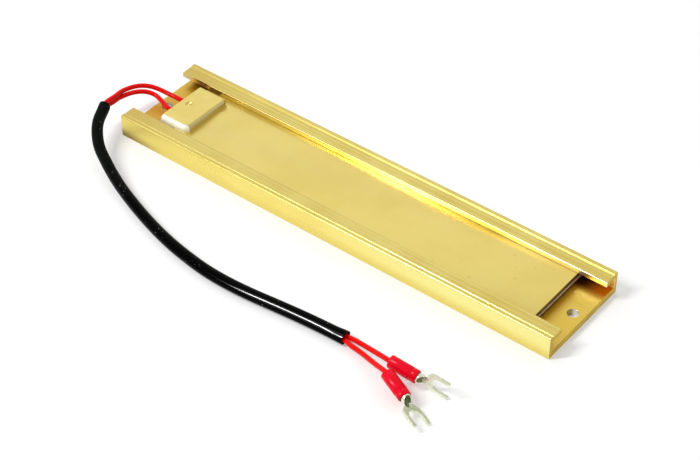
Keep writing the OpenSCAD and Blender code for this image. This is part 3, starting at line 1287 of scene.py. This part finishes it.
@dataclass
class TerminalCover:
    """The pressed cap over the connections, open towards the leads."""

    sheet: float = 0.5 * MM
    top_radius: float = 2.3 * MM
    corner_radius: float = 2.6 * MM
    plate_gap: float = 0.3 * MM
    dimple_radius: float = 1.3 * MM
    dimple_depth: float = 0.42 * MM
    pip_drop: float = 0.25
    dimple_steps: int = 20
    dimple_sides: int = 48
    dimple_inset: float = 3.4 * MM
    bend_from: float = 0.94
    bend_side: float = -0.2
    corner_steps: int = 12
    top_steps: int = 10

    def plan(self, x0: float, x1: float, half: float, radius: float) -> list[tuple[Vector, Vector]]:
        """Points and outward directions along the three closed sides.

        Args:
            x0: Where the open side is.
            x1: Where the plain end is.
            half: Half the width.
            radius: Radius of the two upright corners.

        Returns:
            Pairs of a point and its outward direction, from the near side round to the far side.
        """
        pairs = [(Vector((x0, -half)), Vector((0, -1)))]
        for hand in (-1, 1):
            centre = Vector((x1 - radius, hand * (half - radius)))
            for step in range(self.corner_steps + 1):
                turn = math.radians(90 * step / self.corner_steps)
                if hand < 0:
                    out = Vector((math.sin(turn), -math.cos(turn)))
                else:
                    out = Vector((math.cos(turn), math.sin(turn)))
                pairs.append((centre + out * radius, out))
        pairs.append((Vector((x0, half)), Vector((0, 1))))
        return pairs

    def rings(self, inset: float) -> list[list[Vector]]:
        """Rings of one skin of the cap, from its foot up to the flat top.

        Args:
            inset: How far the skin lies inside the cap's outer faces.

        Returns:
            The rings of points.
        """
        low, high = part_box("terminal_cover")
        pairs = self.plan(low.x, high.x - inset, high.y - inset, self.corner_radius - inset)
        top = self.top_radius - inset
        rings = [[Vector((*p, low.z)) for p, _ in pairs]]
        for step in range(self.top_steps + 1):
            turn = math.radians(90 * step / self.top_steps)
            z = high.z - inset - top * (1 - math.sin(turn))
            rings.append([Vector((*(p - out * top * (1 - math.cos(turn))), z)) for p, out in pairs])
        return rings

    def build_shell(self) -> Piece:
        """Join the outer and inner skins along the foot and the open mouth.

        Returns:
            The shell.
        """
        outer = self.rings(0.0)
        inner = self.rings(self.sheet)
        count = len(outer[0])
        rows = len(outer)
        points = [p for ring in outer + inner for p in ring]
        inner_at = rows * count
        skin = ring_faces(rows, count, closed=False)
        faces = skin + [tuple(inner_at + i for i in face) for face in skin]
        faces.append(tuple(range((rows - 1) * count, rows * count)))
        faces.append(tuple(inner_at + i for i in range((rows - 1) * count, rows * count)))
        foot = [(i, i + 1, inner_at + i + 1, inner_at + i) for i in range(count - 1)]
        mouth_line = [row * count for row in range(rows)]
        mouth_line += [row * count + count - 1 for row in reversed(range(rows))]
        mouth = [(a, b, inner_at + b, inner_at + a) for a, b in zip(mouth_line, mouth_line[1:])]
        return make_object("terminal_cap", points, faces + foot + mouth)

    def seat_on_plate(self, cap: Piece) -> None:
        """Cut the foot away where the cap stands on the plate.

        Args:
            cap: The shell.
        """
        low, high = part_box("terminal_cover")
        plate_low, plate_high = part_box("cover_plate")
        over = 1.0 * MM
        outline = [
            Vector((plate_low.x - self.plate_gap, low.y - over)),
            Vector((high.x + over, low.y - over)),
            Vector((high.x + over, high.y + over)),
            Vector((plate_low.x - self.plate_gap, high.y + over)),
        ]
        combine(cap, prism("plate_room", outline, low.z - over, plate_high.z), Blend.CUT)

    def press_dimple(self, cap: Piece) -> None:
        """Press the round dimple, with the pip in its middle, into the top.

        Args:
            cap: The shell.
        """
        low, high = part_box("terminal_cover")
        over = 0.2 * MM
        profile = []
        for step in range(self.dimple_steps + 1):
            share = step / self.dimple_steps
            sink = math.sin(math.pi * share)
            if share < 0.5:
                sink = self.pip_drop + (1 - self.pip_drop) * sink * sink
            profile.append((-self.dimple_depth * sink, self.dimple_radius * share))
        profile += [(over, self.dimple_radius + over), (over, 0.0)]
        punch = lathe("dimple_punch", profile, self.dimple_sides)
        place = Matrix.Translation((low.x + self.dimple_inset, 0, high.z))
        punch.data.transform(place @ Matrix.Rotation(-math.pi / 2, 4, "Y"))
        combine(cap, punch, Blend.CUT)

    def build(self) -> None:
        """Make the cap with its dimple and dress it."""
        cap = self.build_shell()
        self.seat_on_plate(cap)
        self.press_dimple(cap)
        soften(cap, PRESSED_DEG)
        skin = BareMetal(
            "pressed_cover",
            tone=srgb(246, 224, 136),
            dark_tone=srgb(240, 217, 124),
            roughness=(0.16, 0.22),
            grain=300.0,
            depth=2e-6,
            # Painted shade: the cover's faces that turn towards the plain end are darker.
            fades=(Fade("X", (0.4, 0.95), srgb(208, 190, 132), kind="Normal"),),
        ).make()
        # Painted highlight: a pale, half-metal finish on the near rounded bend, so that it shows white as
        # if lit.
        bend = BareMetal(
            "pressed_bend",
            tone=srgb(252, 249, 228),
            dark_tone=srgb(246, 239, 204),
            roughness=(0.22, 0.28),
            grain=300.0,
            depth=2e-6,
            metal=0.25,
        ).make()
        dress(cap, "terminal_cover", "pressed_cover", skin, bend)
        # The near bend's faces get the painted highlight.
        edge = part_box("terminal_cover")[0].y + self.top_radius
        for face in cap.data.polygons:
            turned = face.normal.y < self.bend_side and face.normal.z < self.bend_from
            face.material_index = 1 if turned and face.center.y < edge else 0


@dataclass
class ForkTerminal:
    """One crimp fork with its insulating collar and the strands in its barrel."""

    mark: str
    place: Point
    turn_deg: Point
    length: float = 21.2 * MM
    width: float = 7.2 * MM
    slot: float = 4.7 * MM
    slot_depth: float = 6.2 * MM
    slot_hair: float = 20 * TINY
    sheet: float = 0.8 * MM
    fork_drop: float = 0.05 * MM
    barrel_radius: float = 1.7 * MM
    bore_radius: float = 1.4 * MM
    crimp_radius: float = 0.65 * MM
    strand_radius: float = 0.6 * MM
    strand_end: float = 10.4 * MM
    barrel_start: float = 5.0 * MM
    mouth_start: float = 9.6 * MM
    barrel_end: float = 12.0 * MM
    tube_end: float = 12.4 * MM
    mouth_top: float = 10.55 * MM
    mouth_foot: Pair = mm(12.6, -0.9)
    barrel_edge: float = 0.1 * MM
    spoon_root: float = 1.25 * MM
    spoon_half: float = 3.95 * MM
    spoon_end: float = 0.05 * MM
    spoon_mouth: float = 2.25 * MM
    spoon_sheet: float = 0.3 * MM
    spoon_sink: float = 0.02 * MM
    unroll: Pair = mm(12.0, 14.2)
    flat_from: float = 1 - 1e-4
    neck_end: float = 0.9 * MM
    neck_half: float = 1.75 * MM
    neck_radius: float = 0.8 * MM
    neck_flare: float = 2.7 * MM
    shoulder_radius: float = 1.4 * MM
    tip_radius: float = 0.6 * MM
    sheet_break: float = 0.14 * MM
    break_steps: int = 3
    break_over_deg: float = 50.0
    arc_steps: int = 8
    slice_step: float = 0.2 * MM
    slices_back: int = 6
    collar_length: float = 10.5 * MM
    collar_radii: Pair = mm(2.45, 2.15)
    collar_soft: float = 0.4 * MM
    collar_mouth: float = 0.5 * MM
    collar_gap: float = 0.12 * MM
    crease_at: float = 8.4 * MM
    crease_depth: float = 0.1 * MM
    lead_bore: float = 1.08 * MM
    lead_in: float = 4.8 * MM
    sides: int = 48

    def matrix(self) -> Matrix:
        """Where the terminal lies, from its own axis along X.

        Returns:
            The placement.
        """
        roll, pitch, yaw = (math.radians(a) for a in self.turn_deg)
        turn = Matrix.Rotation(yaw, 4, "Z") @ Matrix.Rotation(pitch, 4, "Y") @ Matrix.Rotation(roll, 4, "X")
        return Matrix.Translation(self.place) @ turn

    def on_axis(self, along: float) -> Vector:
        """Point on the terminal's axis, in the part's frame."""
        return self.matrix() @ Vector((along, 0, 0))

    def flat_pattern(self) -> Piece:
        """The fork as flat sheet, with the strip that rolls up into the barrel's mouth.

        Returns:
            The sheet.
        """
        half = self.width / 2
        gap = self.slot / 2
        end = self.barrel_end
        near = [
            (end - self.spoon_root, -self.spoon_half, 0.0),
            (end + self.spoon_end, -self.spoon_mouth, self.neck_radius / 2),
            (end + self.neck_end, -self.neck_half, self.neck_radius),
            (end + self.neck_flare, -half, self.shoulder_radius),
            (self.length, -half, self.tip_radius),
            (self.length, -gap, self.tip_radius / 2),
            (self.length - self.slot_depth, -gap, gap - self.slot_hair),
        ]
        corners = near + [(u, -v, r) for u, v, r in reversed(near)]
        outline = rounded_outline(corners, self.arc_steps)
        sheet = prism(f"fork_terminal_{self.mark}", outline, 0.0, self.sheet)
        bevel_edges(sheet, self.sheet_break, self.break_steps, self.break_over_deg)
        return sheet

    def rolled(self, p: Vector) -> Vector:
        """Place of a point of the flat sheet once the neck is rolled.

        Args:
            p: The point, its height measured from the sheet's underside.

        Returns:
            The point about the terminal's axis.
        """
        start, end = self.unroll
        share = min(max((p.x - start) / (end - start), 0.0), 1.0)
        share = share * share * (3 - 2 * share)
        tube = self.barrel_radius - self.spoon_sink
        bottom = -tube - share * (self.fork_drop + self.spoon_sink)
        thick = self.spoon_sheet + share * (self.sheet - self.spoon_sheet)
        depth = p.z / self.sheet * thick
        if share > self.flat_from:
            return Vector((p.x, p.y, bottom + depth))
        radius = tube / (1 - share)
        turn = p.y / (radius - thick / 2)
        arm = radius - depth
        return Vector((p.x, arm * math.sin(turn), bottom + radius - arm * math.cos(turn)))

    def build_tongue(self) -> Piece:
        """The fork's sheet, sliced finely at the neck and rolled up towards the barrel.

        Returns:
            The rolled sheet.
        """
        tongue = self.flat_pattern()
        built = bmesh.new()
        built.from_mesh(tongue.data)
        step = self.slice_step
        ahead = round((self.unroll[1] - self.barrel_end) / step)
        across = round(self.spoon_half / step)
        slices = [
            (Vector((self.barrel_end + k * step, 0, 0)), Vector((1, 0, 0)))
            for k in range(-self.slices_back, ahead + 1)
        ]
        slices += [(Vector((0, k * step, 0)), Vector((0, 1, 0))) for k in range(-across + 1, across)]
        for at, square_to in slices:
            parts = [*built.verts, *built.edges, *built.faces]
            bmesh.ops.bisect_plane(built, geom=parts, dist=TINY, plane_co=at, plane_no=square_to)
        for vertex in built.verts:
            vertex.co = self.rolled(vertex.co)
        bmesh.ops.recalc_face_normals(built, faces=built.faces)
        built.to_mesh(tongue.data)
        built.free()
        return tongue

    def mouth_wedge(self) -> Piece:
        """Solid that cuts the barrel's mouth off aslant, from its top down to the tongue.

        Returns:
            The wedge.
        """
        foot_u, foot_z = self.mouth_foot
        top = self.barrel_radius
        slope = (foot_u - self.mouth_top) / (top - foot_z)
        over = 2.0 * MM
        outline = [
            Vector((self.mouth_top - slope * over, top + over)),
            Vector((foot_u, foot_z)),
            Vector((foot_u + over, foot_z)),
            Vector((foot_u + over, top + over)),
        ]
        wedge = prism("mouth_wedge", outline, -self.width, self.width)
        wedge.data.transform(Matrix.Rotation(math.pi / 2, 4, "X"))
        return wedge

    def build_fork(self, finish: Finish) -> Piece:
        """The metal of the terminal: fork and barrel in one.

        Args:
            finish: Its material.

        Returns:
            The fork.
        """
        r, b, edge = self.barrel_radius, self.bore_radius, self.barrel_edge
        tube = lathe(
            "barrel",
            [
                (self.barrel_start, self.crimp_radius),
                (self.barrel_start, r),
                (self.tube_end, r),
                (self.tube_end, b),
                (self.mouth_start, b),
                (self.mouth_start - edge, self.crimp_radius),
            ],
            self.sides,
        )
        fork = self.build_tongue()
        combine(tube, self.mouth_wedge(), Blend.CUT)
        combine(fork, tube, Blend.ADD)
        soften(fork, PRESSED_DEG)
        fork.data.transform(self.matrix())
        return dress(fork, f"fork_{self.mark}", "tinned_metal", finish)

    def build_collar(self, finish: Finish) -> Piece:
        """The insulating collar, flattened and creased where it is crimped.

        Args:
            finish: Its material.

        Returns:
            The collar.
        """
        wide, high = self.collar_radii
        r, n, soft = high, self.collar_length, self.collar_soft
        front = self.barrel_radius + self.collar_gap
        dent, at = self.crease_depth, self.crease_at
        ramp, sag = 3 * dent, dent / 5
        chamfer = soft * 0.3
        profile = [
            (self.collar_mouth, self.lead_bore),
            (dent / 2, self.lead_bore + self.collar_mouth),
            (0.0, r - soft),
            (chamfer, r - chamfer),
            (soft, r),
            (at - ramp, r),
            (at - dent, r - dent),
            (at + dent, r - dent),
            (at + ramp, r - sag),
            (n - soft, r - sag),
            (n - chamfer, r - chamfer),
            (n, r - soft),
            (n, front),
            (self.barrel_start, front),
            (self.barrel_start, self.lead_bore),
        ]
        collar = lathe(f"collar_{self.mark}", profile, self.sides)
        collar.data.transform(Matrix.Diagonal((1, wide / high, 1, 1)))
        soften(collar, ROUND_DEG)
        collar.data.transform(self.matrix())
        return dress(collar, f"fork_collar_{self.mark}", "crimson_collar", finish)

    def build(
        self, metal: Finish, plastic: Finish, strands: "StrandBundle"
    ) -> list[Piece]:
        """Make the whole terminal.

        Args:
            metal: Finish of the fork.
            plastic: Finish of the collar.
            strands: Maker of the conductor ends.

        Returns:
            Its pieces.
        """
        wire = strands.build(
            f"crimped_strands_{self.mark}",
            f"crimp_strands_{self.mark}",
            self.strand_radius,
            self.strand_end - self.lead_in,
            self.matrix() @ Matrix.Translation((self.lead_in, 0, 0)),
        )
        return [self.build_fork(metal), self.build_collar(plastic), wire]


@dataclass
class StrandBundle:
    """Bare conductor ends, made by instancing one strand on rings of points."""

    finish: Finish
    rings: int = 2
    ring_strands: int = 6
    strand_sides: int = 8
    tree: Optional[bpy.types.NodeTree] = field(default=None, init=False)
    inputs: dict[str, str] = field(default_factory=dict, init=False)

    def make_tree(self) -> None:
        """Build the node tree that packs strands round a middle one, six more in each ring."""
        tree = bpy.data.node_groups.new("strand_bundle", "GeometryNodeTree")
        tree.interface.new_socket("Geometry", in_out="OUTPUT", socket_type="NodeSocketGeometry")
        for name in ("Strand radius", "Length"):
            socket = tree.interface.new_socket(name, in_out="INPUT", socket_type="NodeSocketFloat")
            self.inputs[name] = socket.identifier
        nodes, links = tree.nodes, tree.links
        sizes = nodes.new("NodeGroupInput")
        strand = nodes.new("GeometryNodeMeshCylinder")
        strand.inputs["Vertices"].default_value = self.strand_sides
        links.new(sizes.outputs["Strand radius"], strand.inputs["Radius"])
        links.new(sizes.outputs["Length"], strand.inputs["Depth"])
        joined = nodes.new("GeometryNodeJoinGeometry")
        centre = nodes.new("GeometryNodeMeshLine")
        centre.inputs["Count"].default_value = 1
        links.new(centre.outputs["Mesh"], joined.inputs["Geometry"])
        for ring in range(1, self.rings):
            circle = nodes.new("GeometryNodeMeshCircle")
            circle.inputs["Vertices"].default_value = self.ring_strands * ring
            spread = nodes.new("ShaderNodeMath")
            spread.operation = "MULTIPLY"
            spread.inputs[1].default_value = 2.0 * ring
            links.new(sizes.outputs["Strand radius"], spread.inputs[0])
            links.new(spread.outputs["Value"], circle.inputs["Radius"])
            links.new(circle.outputs["Mesh"], joined.inputs["Geometry"])
        packed = nodes.new("GeometryNodeInstanceOnPoints")
        links.new(joined.outputs["Geometry"], packed.inputs["Points"])
        links.new(strand.outputs["Mesh"], packed.inputs["Instance"])
        real = nodes.new("GeometryNodeRealizeInstances")
        links.new(packed.outputs["Instances"], real.inputs["Geometry"])
        coat = nodes.new("GeometryNodeSetMaterial")
        coat.inputs["Material"].default_value = self.finish
        links.new(real.outputs["Geometry"], coat.inputs["Geometry"])
        output = nodes.new("NodeGroupOutput")
        links.new(coat.outputs["Geometry"], output.inputs["Geometry"])
        self.tree = tree

    def build(self, name: str, node: str, radius: float, length: float, matrix: Matrix) -> Piece:
        """Make one bundle and put it in its place.

        Args:
            name: Name of the piece.
            node: The solid that it stands for.
            radius: Radius of the whole bundle.
            length: Length of the strands.
            matrix: Where the bundle starts, running along X.

        Returns:
            The bundle.
        """
        if self.tree is None:
            self.make_tree()
        bundle = make_object(name, [(0, 0, 0)], [])
        maker = bundle.modifiers.new("strands", "NODES")
        maker.node_group = self.tree
        maker[self.inputs["Strand radius"]] = radius / (2 * self.rings - 1)
        maker[self.inputs["Length"]] = length
        bake_modifiers(bundle)
        lay = Matrix.Translation((length / 2, 0, 0)) @ Matrix.Rotation(math.pi / 2, 4, "Y")
        bundle.data.transform(matrix @ lay)
        soften(bundle, ROUND_DEG)
        return dress(bundle, node, "tinned_metal", self.finish)


@dataclass
class LeadSet:
    """Two red leads, the sleeve over them and the ends they are joined to."""

    fork_a: ForkTerminal
    fork_b: ForkTerminal
    lead_radius: float = 0.875 * MM
    sleeve_radii: Pair = mm(2.45, 2.05)
    sleeve_wall: float = 0.4 * MM
    mouth_flare: Pair = (0.03, 0.08)
    flare_reach: float = 3.0 * MM
    spread: float = 0.9 * MM
    twist_deg: float = 90.0
    twist_ease: float = 1.3
    tag_y: float = 3.0 * MM
    tag_z: float = 5.9 * MM
    lead_inset: float = 1.2 * MM
    lead_straight: float = 1.5 * MM
    lead_sides: int = 24
    sleeve_sides: int = 48
    steps: int = 6
    sleeve_points: tuple[Point, ...] = (
        (-0.0073, -0.0205, 0.01), (-0.003, -0.0287, 0.009), (0.0033, -0.035, 0.0068),
        (0.011, -0.0391, 0.0046), (0.0196, -0.043, 0.0032), (0.028, -0.0463, 0.0026),
        (0.037, -0.0495, 0.00236), (0.0459, -0.0523, 0.0023), (0.0549, -0.0546, 0.00225),
        (0.0638, -0.0562, 0.0022), (0.0728, -0.0573, 0.00217), (0.0824, -0.0575, 0.00215),
        (0.0919, -0.0569, 0.00212), (0.1009, -0.0559, 0.0021), (0.1103, -0.0549, 0.00208),
        (0.1193, -0.0542, 0.00207), (0.1288, -0.0537, 0.00207),
    )
    lead_a_out: tuple[Point, ...] = (
        (0.0057, 0.0031, 0.006), (0.0019, 0.0026, 0.0064), (-0.0019, 0.0017, 0.0072),
        (-0.0047, 0.0, 0.0081), (-0.0066, -0.0027, 0.009), (-0.0076, -0.0063, 0.0099),
        (-0.008, -0.0105, 0.0106), (-0.0076, -0.0148, 0.01095),
    )
    lead_b_out: tuple[Point, ...] = (
        (0.007, -0.0032, 0.0058), (0.0032, -0.0019, 0.0061), (-0.0007, -0.0013, 0.0068),
        (-0.0037, -0.0027, 0.0076), (-0.0055, -0.0055, 0.0084), (-0.0068, -0.0088, 0.0088),
        (-0.0076, -0.0127, 0.00895), (-0.0076, -0.016, 0.009),
    )
    lead_a_end: tuple[Point, ...] = (
        (0.1325, -0.0555, 0.00235), (0.1376, -0.0565, 0.0029), (0.1441, -0.0587, 0.0043),
    )
    lead_b_end: tuple[Point, ...] = (
        (0.1324, -0.0529, 0.0025), (0.138, -0.0539, 0.0036), (0.1437, -0.0552, 0.005),
    )

    def placed(self, points: Sequence[Point]) -> list[Vector]:
        """Route points in the part's frame, from ones measured at the channel's lead end."""
        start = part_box("channel")[0].x
        return [Vector((start + x, y, z)) for x, y, z in points]

    def across(self, route: Sequence[Vector], i: int) -> Vector:
        """Direction from the sleeve's middle to lead a, upright at the start and level at the end.

        Args:
            route: The sleeve's middle line.
            i: Number of a point on it.

        Returns:
            The direction there.
        """
        left = 1 - i / (len(route) - 1)
        turn = math.radians(self.twist_deg) * left**self.twist_ease
        side = side_at(route, i)
        return side * math.cos(turn) + side.cross(tangent_at(route, i)) * math.sin(turn)

    def lead_route(
        self, hand: int, out: Sequence[Point], end: Sequence[Point], fork: ForkTerminal
    ) -> list[Vector]:
        """Route of one lead from its tag, through the sleeve, into its terminal.

        Args:
            hand: 1 for the far tag, -1 for the near one.
            out: Points between the cover and the sleeve.
            end: Points between the sleeve and the terminal.
            fork: The terminal at its end.

        Returns:
            The route's points.
        """
        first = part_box("terminal_cover")[0].x + self.lead_inset
        start = [Vector((x, hand * self.tag_y, self.tag_z)) for x in (first, first - self.lead_straight)]
        sleeve = self.placed(self.sleeve_points)
        beside = [p + self.across(sleeve, i) * (hand * self.spread) for i, p in enumerate(sleeve)]
        finish = [fork.on_axis(0.0), fork.on_axis(fork.lead_in)]
        return start + self.placed(out) + beside + self.placed(end) + finish

    def sweep(
        self, name: str, shells: Sequence[Sequence[Sequence[Vector]]], stations: Sequence[float]
    ) -> Piece:
        """Tube through rings of points.

        Args:
            name: Name of the piece.
            shells: The outer rings, and the bore's rings if the tube is hollow.
            stations: Distance of each ring along the route.

        Returns:
            The tube, with the distance along it stored on its points.
        """
        rings = len(stations)
        sides = len(shells[0][0])
        points = [p for shell in shells for ring in shell for p in ring]
        skin = ring_faces(rings, sides)
        shift = rings * sides
        last = shift - sides
        faces = [tuple(n * shift + k for k in face) for n in range(len(shells)) for face in skin]
        if len(shells) == 1:
            faces += [tuple(range(sides)), tuple(range(last, shift))]
        else:
            for start in (0, last):
                ends = [(start + k, start + (k + 1) % sides) for k in range(sides)]
                faces += [(a, b, shift + b, shift + a) for a, b in ends]
        tube = make_object(name, points, faces)
        add_length_map(tube, list(stations) * len(shells), sides)
        soften(tube, HOSE_DEG)
        return tube

    def build_leads(self, pieces_a: list[Piece], pieces_b: list[Piece]) -> None:
        """Args:
            pieces_a: The pieces on the end of lead a; not used.
            pieces_b: The pieces on the end of lead b; not used.
        """
        skin = CordSkin(
            "red_insulation",
            tone=srgb(226, 4, 2),
            dull_tone=srgb(222, 3, 2),
            roughness=(0.14, 0.1),
            dull_span=(0.0, 30 * MM),
            specular=0.16,
        ).make()
        r = self.lead_radius
        for mark, hand, out, end, fork, pieces in (
            ("a", 1, self.lead_a_out, self.lead_a_end, self.fork_a, pieces_a),
            ("b", -1, self.lead_b_out, self.lead_b_end, self.fork_b, pieces_b),
        ):
            route = smooth_route(self.lead_route(hand, out, end, fork), self.steps)
            stations = distances(route)
            count = len(stations)
            rings = [swept_ring(route, i, side_at(route, i), (r, r), self.lead_sides) for i in range(count)]
            lead = self.sweep(f"red_lead_{mark}", [rings], stations)
            dress(lead, f"lead_{mark}", "red_insulation", skin)

    def build_sleeve(self) -> None:
        """Make the sleeve, oval over the two leads, with mouths that flare a little."""
        route = smooth_route(self.placed(self.sleeve_points), self.steps)
        stations = distances(route)
        wide, high = self.sleeve_radii
        shells: list[list[list[Vector]]] = [[], []]
        for i, travelled in enumerate(stations):
            grow = 1.0
            for flare, away in zip(self.mouth_flare, (travelled, stations[-1] - travelled)):
                grow += flare * math.exp(-((away / self.flare_reach) ** 2))
            lift = Vector((0, 0, (grow - 1) * high))
            across = self.across(route, i)
            for shell, wall in zip(shells, (0.0, self.sleeve_wall)):
                radii = (wide * grow - wall, high * grow - wall)
                shell.append([p + lift for p in swept_ring(route, i, across, radii, self.sleeve_sides)])
        sleeve = self.sweep("black_sleeve", shells, stations)
        skin = CordSkin(
            "black_sleeve_rubber",
            tone=srgb(1, 1, 1),
            dull_tone=srgb(12, 15, 12),
            roughness=(0.5, 0.16),
            dull_span=mm(10, 60),
            specular=0.03,
            dust=srgb(104, 106, 105),
            # Painted highlight along the sleeve's last stretch.
            gloss=1.0,
        ).make()
        dress(sleeve, "lead_sleeve", "black_sleeve", skin)

    def build_tags(self, frame: dict, metal: Finish, strands: StrandBundle) -> None:
        """Dress the tags and rivets and lay the bare strands on the tags.

        Args:
            frame: The loaded frame.
            metal: Finish of the tags and rivets.
            strands: Maker of the conductor ends.
        """
        for mark in ("a", "b"):
            dress_solid(frame, f"terminal_tag_{mark}", metal)
            node = f"tag_strands_{mark}"
            low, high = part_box(node)
            centre = (low + high) / 2
            strands.build(
                f"bare_strands_{mark}",
                node,
                (high.z - low.z) / 2,
                high.x - low.x,
                Matrix.Translation((low.x, centre.y, centre.z)),
            )
        dress_solid(frame, "tag_rivets", metal)

    def build(self, frame: dict) -> None:
        """Make terminals, leads, sleeve and tags.

        Args:
            frame: The loaded frame.
        """
        metal = BareMetal("tinned_fork", tone=srgb(232, 236, 212), dark_tone=srgb(208, 213, 186)).make()
        plastic = MouldedCollar().make()
        strands = StrandBundle(BareMetal("bare_strand", tone=srgb(230, 226, 214)).make())
        pieces_a = self.fork_a.build(metal, plastic, strands)
        pieces_b = self.fork_b.build(metal, plastic, strands)
        self.build_leads(pieces_a, pieces_b)
        self.build_sleeve()
        self.build_tags(frame, metal, strands)


# Studio


@dataclass(frozen=True)
class AreaLamp:
    """A flat lamp that faces the part."""

    name: str
    place: Point
    size: Pair
    power: float

    def hang(self) -> None:
        """Put the lamp in its place."""
        light = bpy.data.lights.new(self.name, "AREA")
        light.shape = "RECTANGLE"
        light.size, light.size_y = self.size
        light.energy = self.power
        lamp = add_object(self.name, light)
        lamp.location = self.place
        lamp.rotation_euler = (-Vector(self.place)).to_track_quat("-Z", "Y").to_euler()


@dataclass
class Studio:
    """White table, soft light and the camera."""

    eye: Point = (0.3006, -0.3916, 0.4269)
    aim: Point = (0.0044, -0.0099, 0.0)
    roll_deg: float = 0.27
    lens: float = 97.2
    clip_start: float = 0.01
    table_size: float = 6.0
    table_drop: float = 0.02 * MM
    table_tone: Colour = (0.76, 0.76, 0.76)
    table_glow: float = 0.23
    table_gleam: float = 0.4
    room_level: float = 0.66
    lamps: tuple[AreaLamp, ...] = (
        AreaLamp("key_lamp", (-0.37, -0.53, 0.765), (0.08, 0.42), 5.4),
        AreaLamp("back_softbox", (-0.55, 0.71, 0.79), (1.4, 1.2), 1.35),
    )

    def glow_strength(self, tree: bpy.types.NodeTree) -> Socket:
        """The table's glow for camera rays, and for mirror and see-through rays.

        Args:
            tree: Nodes of the table's material.

        Returns:
            The glow's strength.
        """
        rays = tree.nodes.new("ShaderNodeLightPath")
        total = None
        for name, level in (
            ("Is Camera Ray", self.table_glow),
            ("Is Glossy Ray", self.table_gleam),
            ("Is Transmission Ray", self.table_gleam),
        ):
            share = tree.nodes.new("ShaderNodeMath")
            share.operation = "MULTIPLY_ADD"
            share.inputs[1].default_value = level
            share.inputs[2].default_value = 0.0
            tree.links.new(rays.outputs[name], share.inputs[0])
            if total is not None:
                tree.links.new(total, share.inputs[2])
            total = share.outputs["Value"]
        return total

    def build_table(self) -> None:
        """Lay the white table that keeps the part's shadow."""
        half = self.table_size / 2
        corners = [(-half, -half, 0), (half, -half, 0), (half, half, 0), (-half, half, 0)]
        table = make_object("table", corners, [(0, 1, 2, 3)])
        table.location.z = -self.table_drop
        finish = bpy.data.materials.new("white_table")
        finish.use_nodes = True
        tree = finish.node_tree
        tree.nodes.clear()
        matt = tree.nodes.new("ShaderNodeBsdfDiffuse")
        matt.inputs["Color"].default_value = (*self.table_tone, 1)
        glow = tree.nodes.new("ShaderNodeEmission")
        tree.links.new(self.glow_strength(tree), glow.inputs["Strength"])
        both = tree.nodes.new("ShaderNodeAddShader")
        tree.links.new(matt.outputs["BSDF"], both.inputs[0])
        tree.links.new(glow.outputs["Emission"], both.inputs[1])
        output = tree.nodes.new("ShaderNodeOutputMaterial")
        tree.links.new(both.outputs["Shader"], output.inputs["Surface"])
        finish.cycles.emission_sampling = "NONE"
        table.data.materials.append(finish)

    def build_world(self) -> None:
        """Surround the part with an even white room."""
        world = bpy.data.worlds.new("white_room")
        bpy.context.scene.world = world
        world.use_nodes = True
        sky = next(n for n in world.node_tree.nodes if n.type == "BACKGROUND")
        sky.inputs["Color"].default_value = (1, 1, 1, 1)
        sky.inputs["Strength"].default_value = self.room_level

    def build_camera(self) -> None:
        """Stand the camera where the photograph was taken from."""
        data = bpy.data.cameras.new("photo_camera")
        data.lens = self.lens
        data.clip_start = self.clip_start
        camera = add_object("photo_camera", data)
        view = Vector(self.aim) - Vector(self.eye)
        camera.location = self.eye
        turn = view.to_track_quat("-Z", "Y").to_matrix().to_4x4()
        camera.rotation_euler = (turn @ Matrix.Rotation(math.radians(self.roll_deg), 4, "Z")).to_euler()
        bpy.context.scene.camera = camera

    def build(self) -> None:
        """Set up the table, the light and the camera."""
        self.build_table()
        self.build_world()
        for lamp in self.lamps:
            lamp.hang()
        self.build_camera()
        bpy.context.scene.view_settings.view_transform = "Standard"


def clear_scene() -> None:
    """Remove what a new Blender file starts with."""
    for item in list(bpy.data.objects):
        bpy.data.objects.remove(item)


def main() -> None:
    """Set up the studio, then build the part's pieces in order."""
    logging.basicConfig(level=logging.INFO, format="%(name)s: %(message)s")
    clear_scene()
    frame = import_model()
    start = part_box("channel")[0].x
    Studio().build()
    LippedChannel().build()
    ElementStack().build(frame)
    TerminalCover().build()
    fork_a = ForkTerminal("a", place=(start + 0.1509, -0.0612, 0.0063), turn_deg=(-23.8, 9.1, -19.8))
    fork_b = ForkTerminal("b", place=(start + 0.1484, -0.0563, 0.0061), turn_deg=(89.0, 6.7, 3.5))
    LeadSet(fork_a, fork_b).build(frame)


if __name__ == "__main__":
    main()
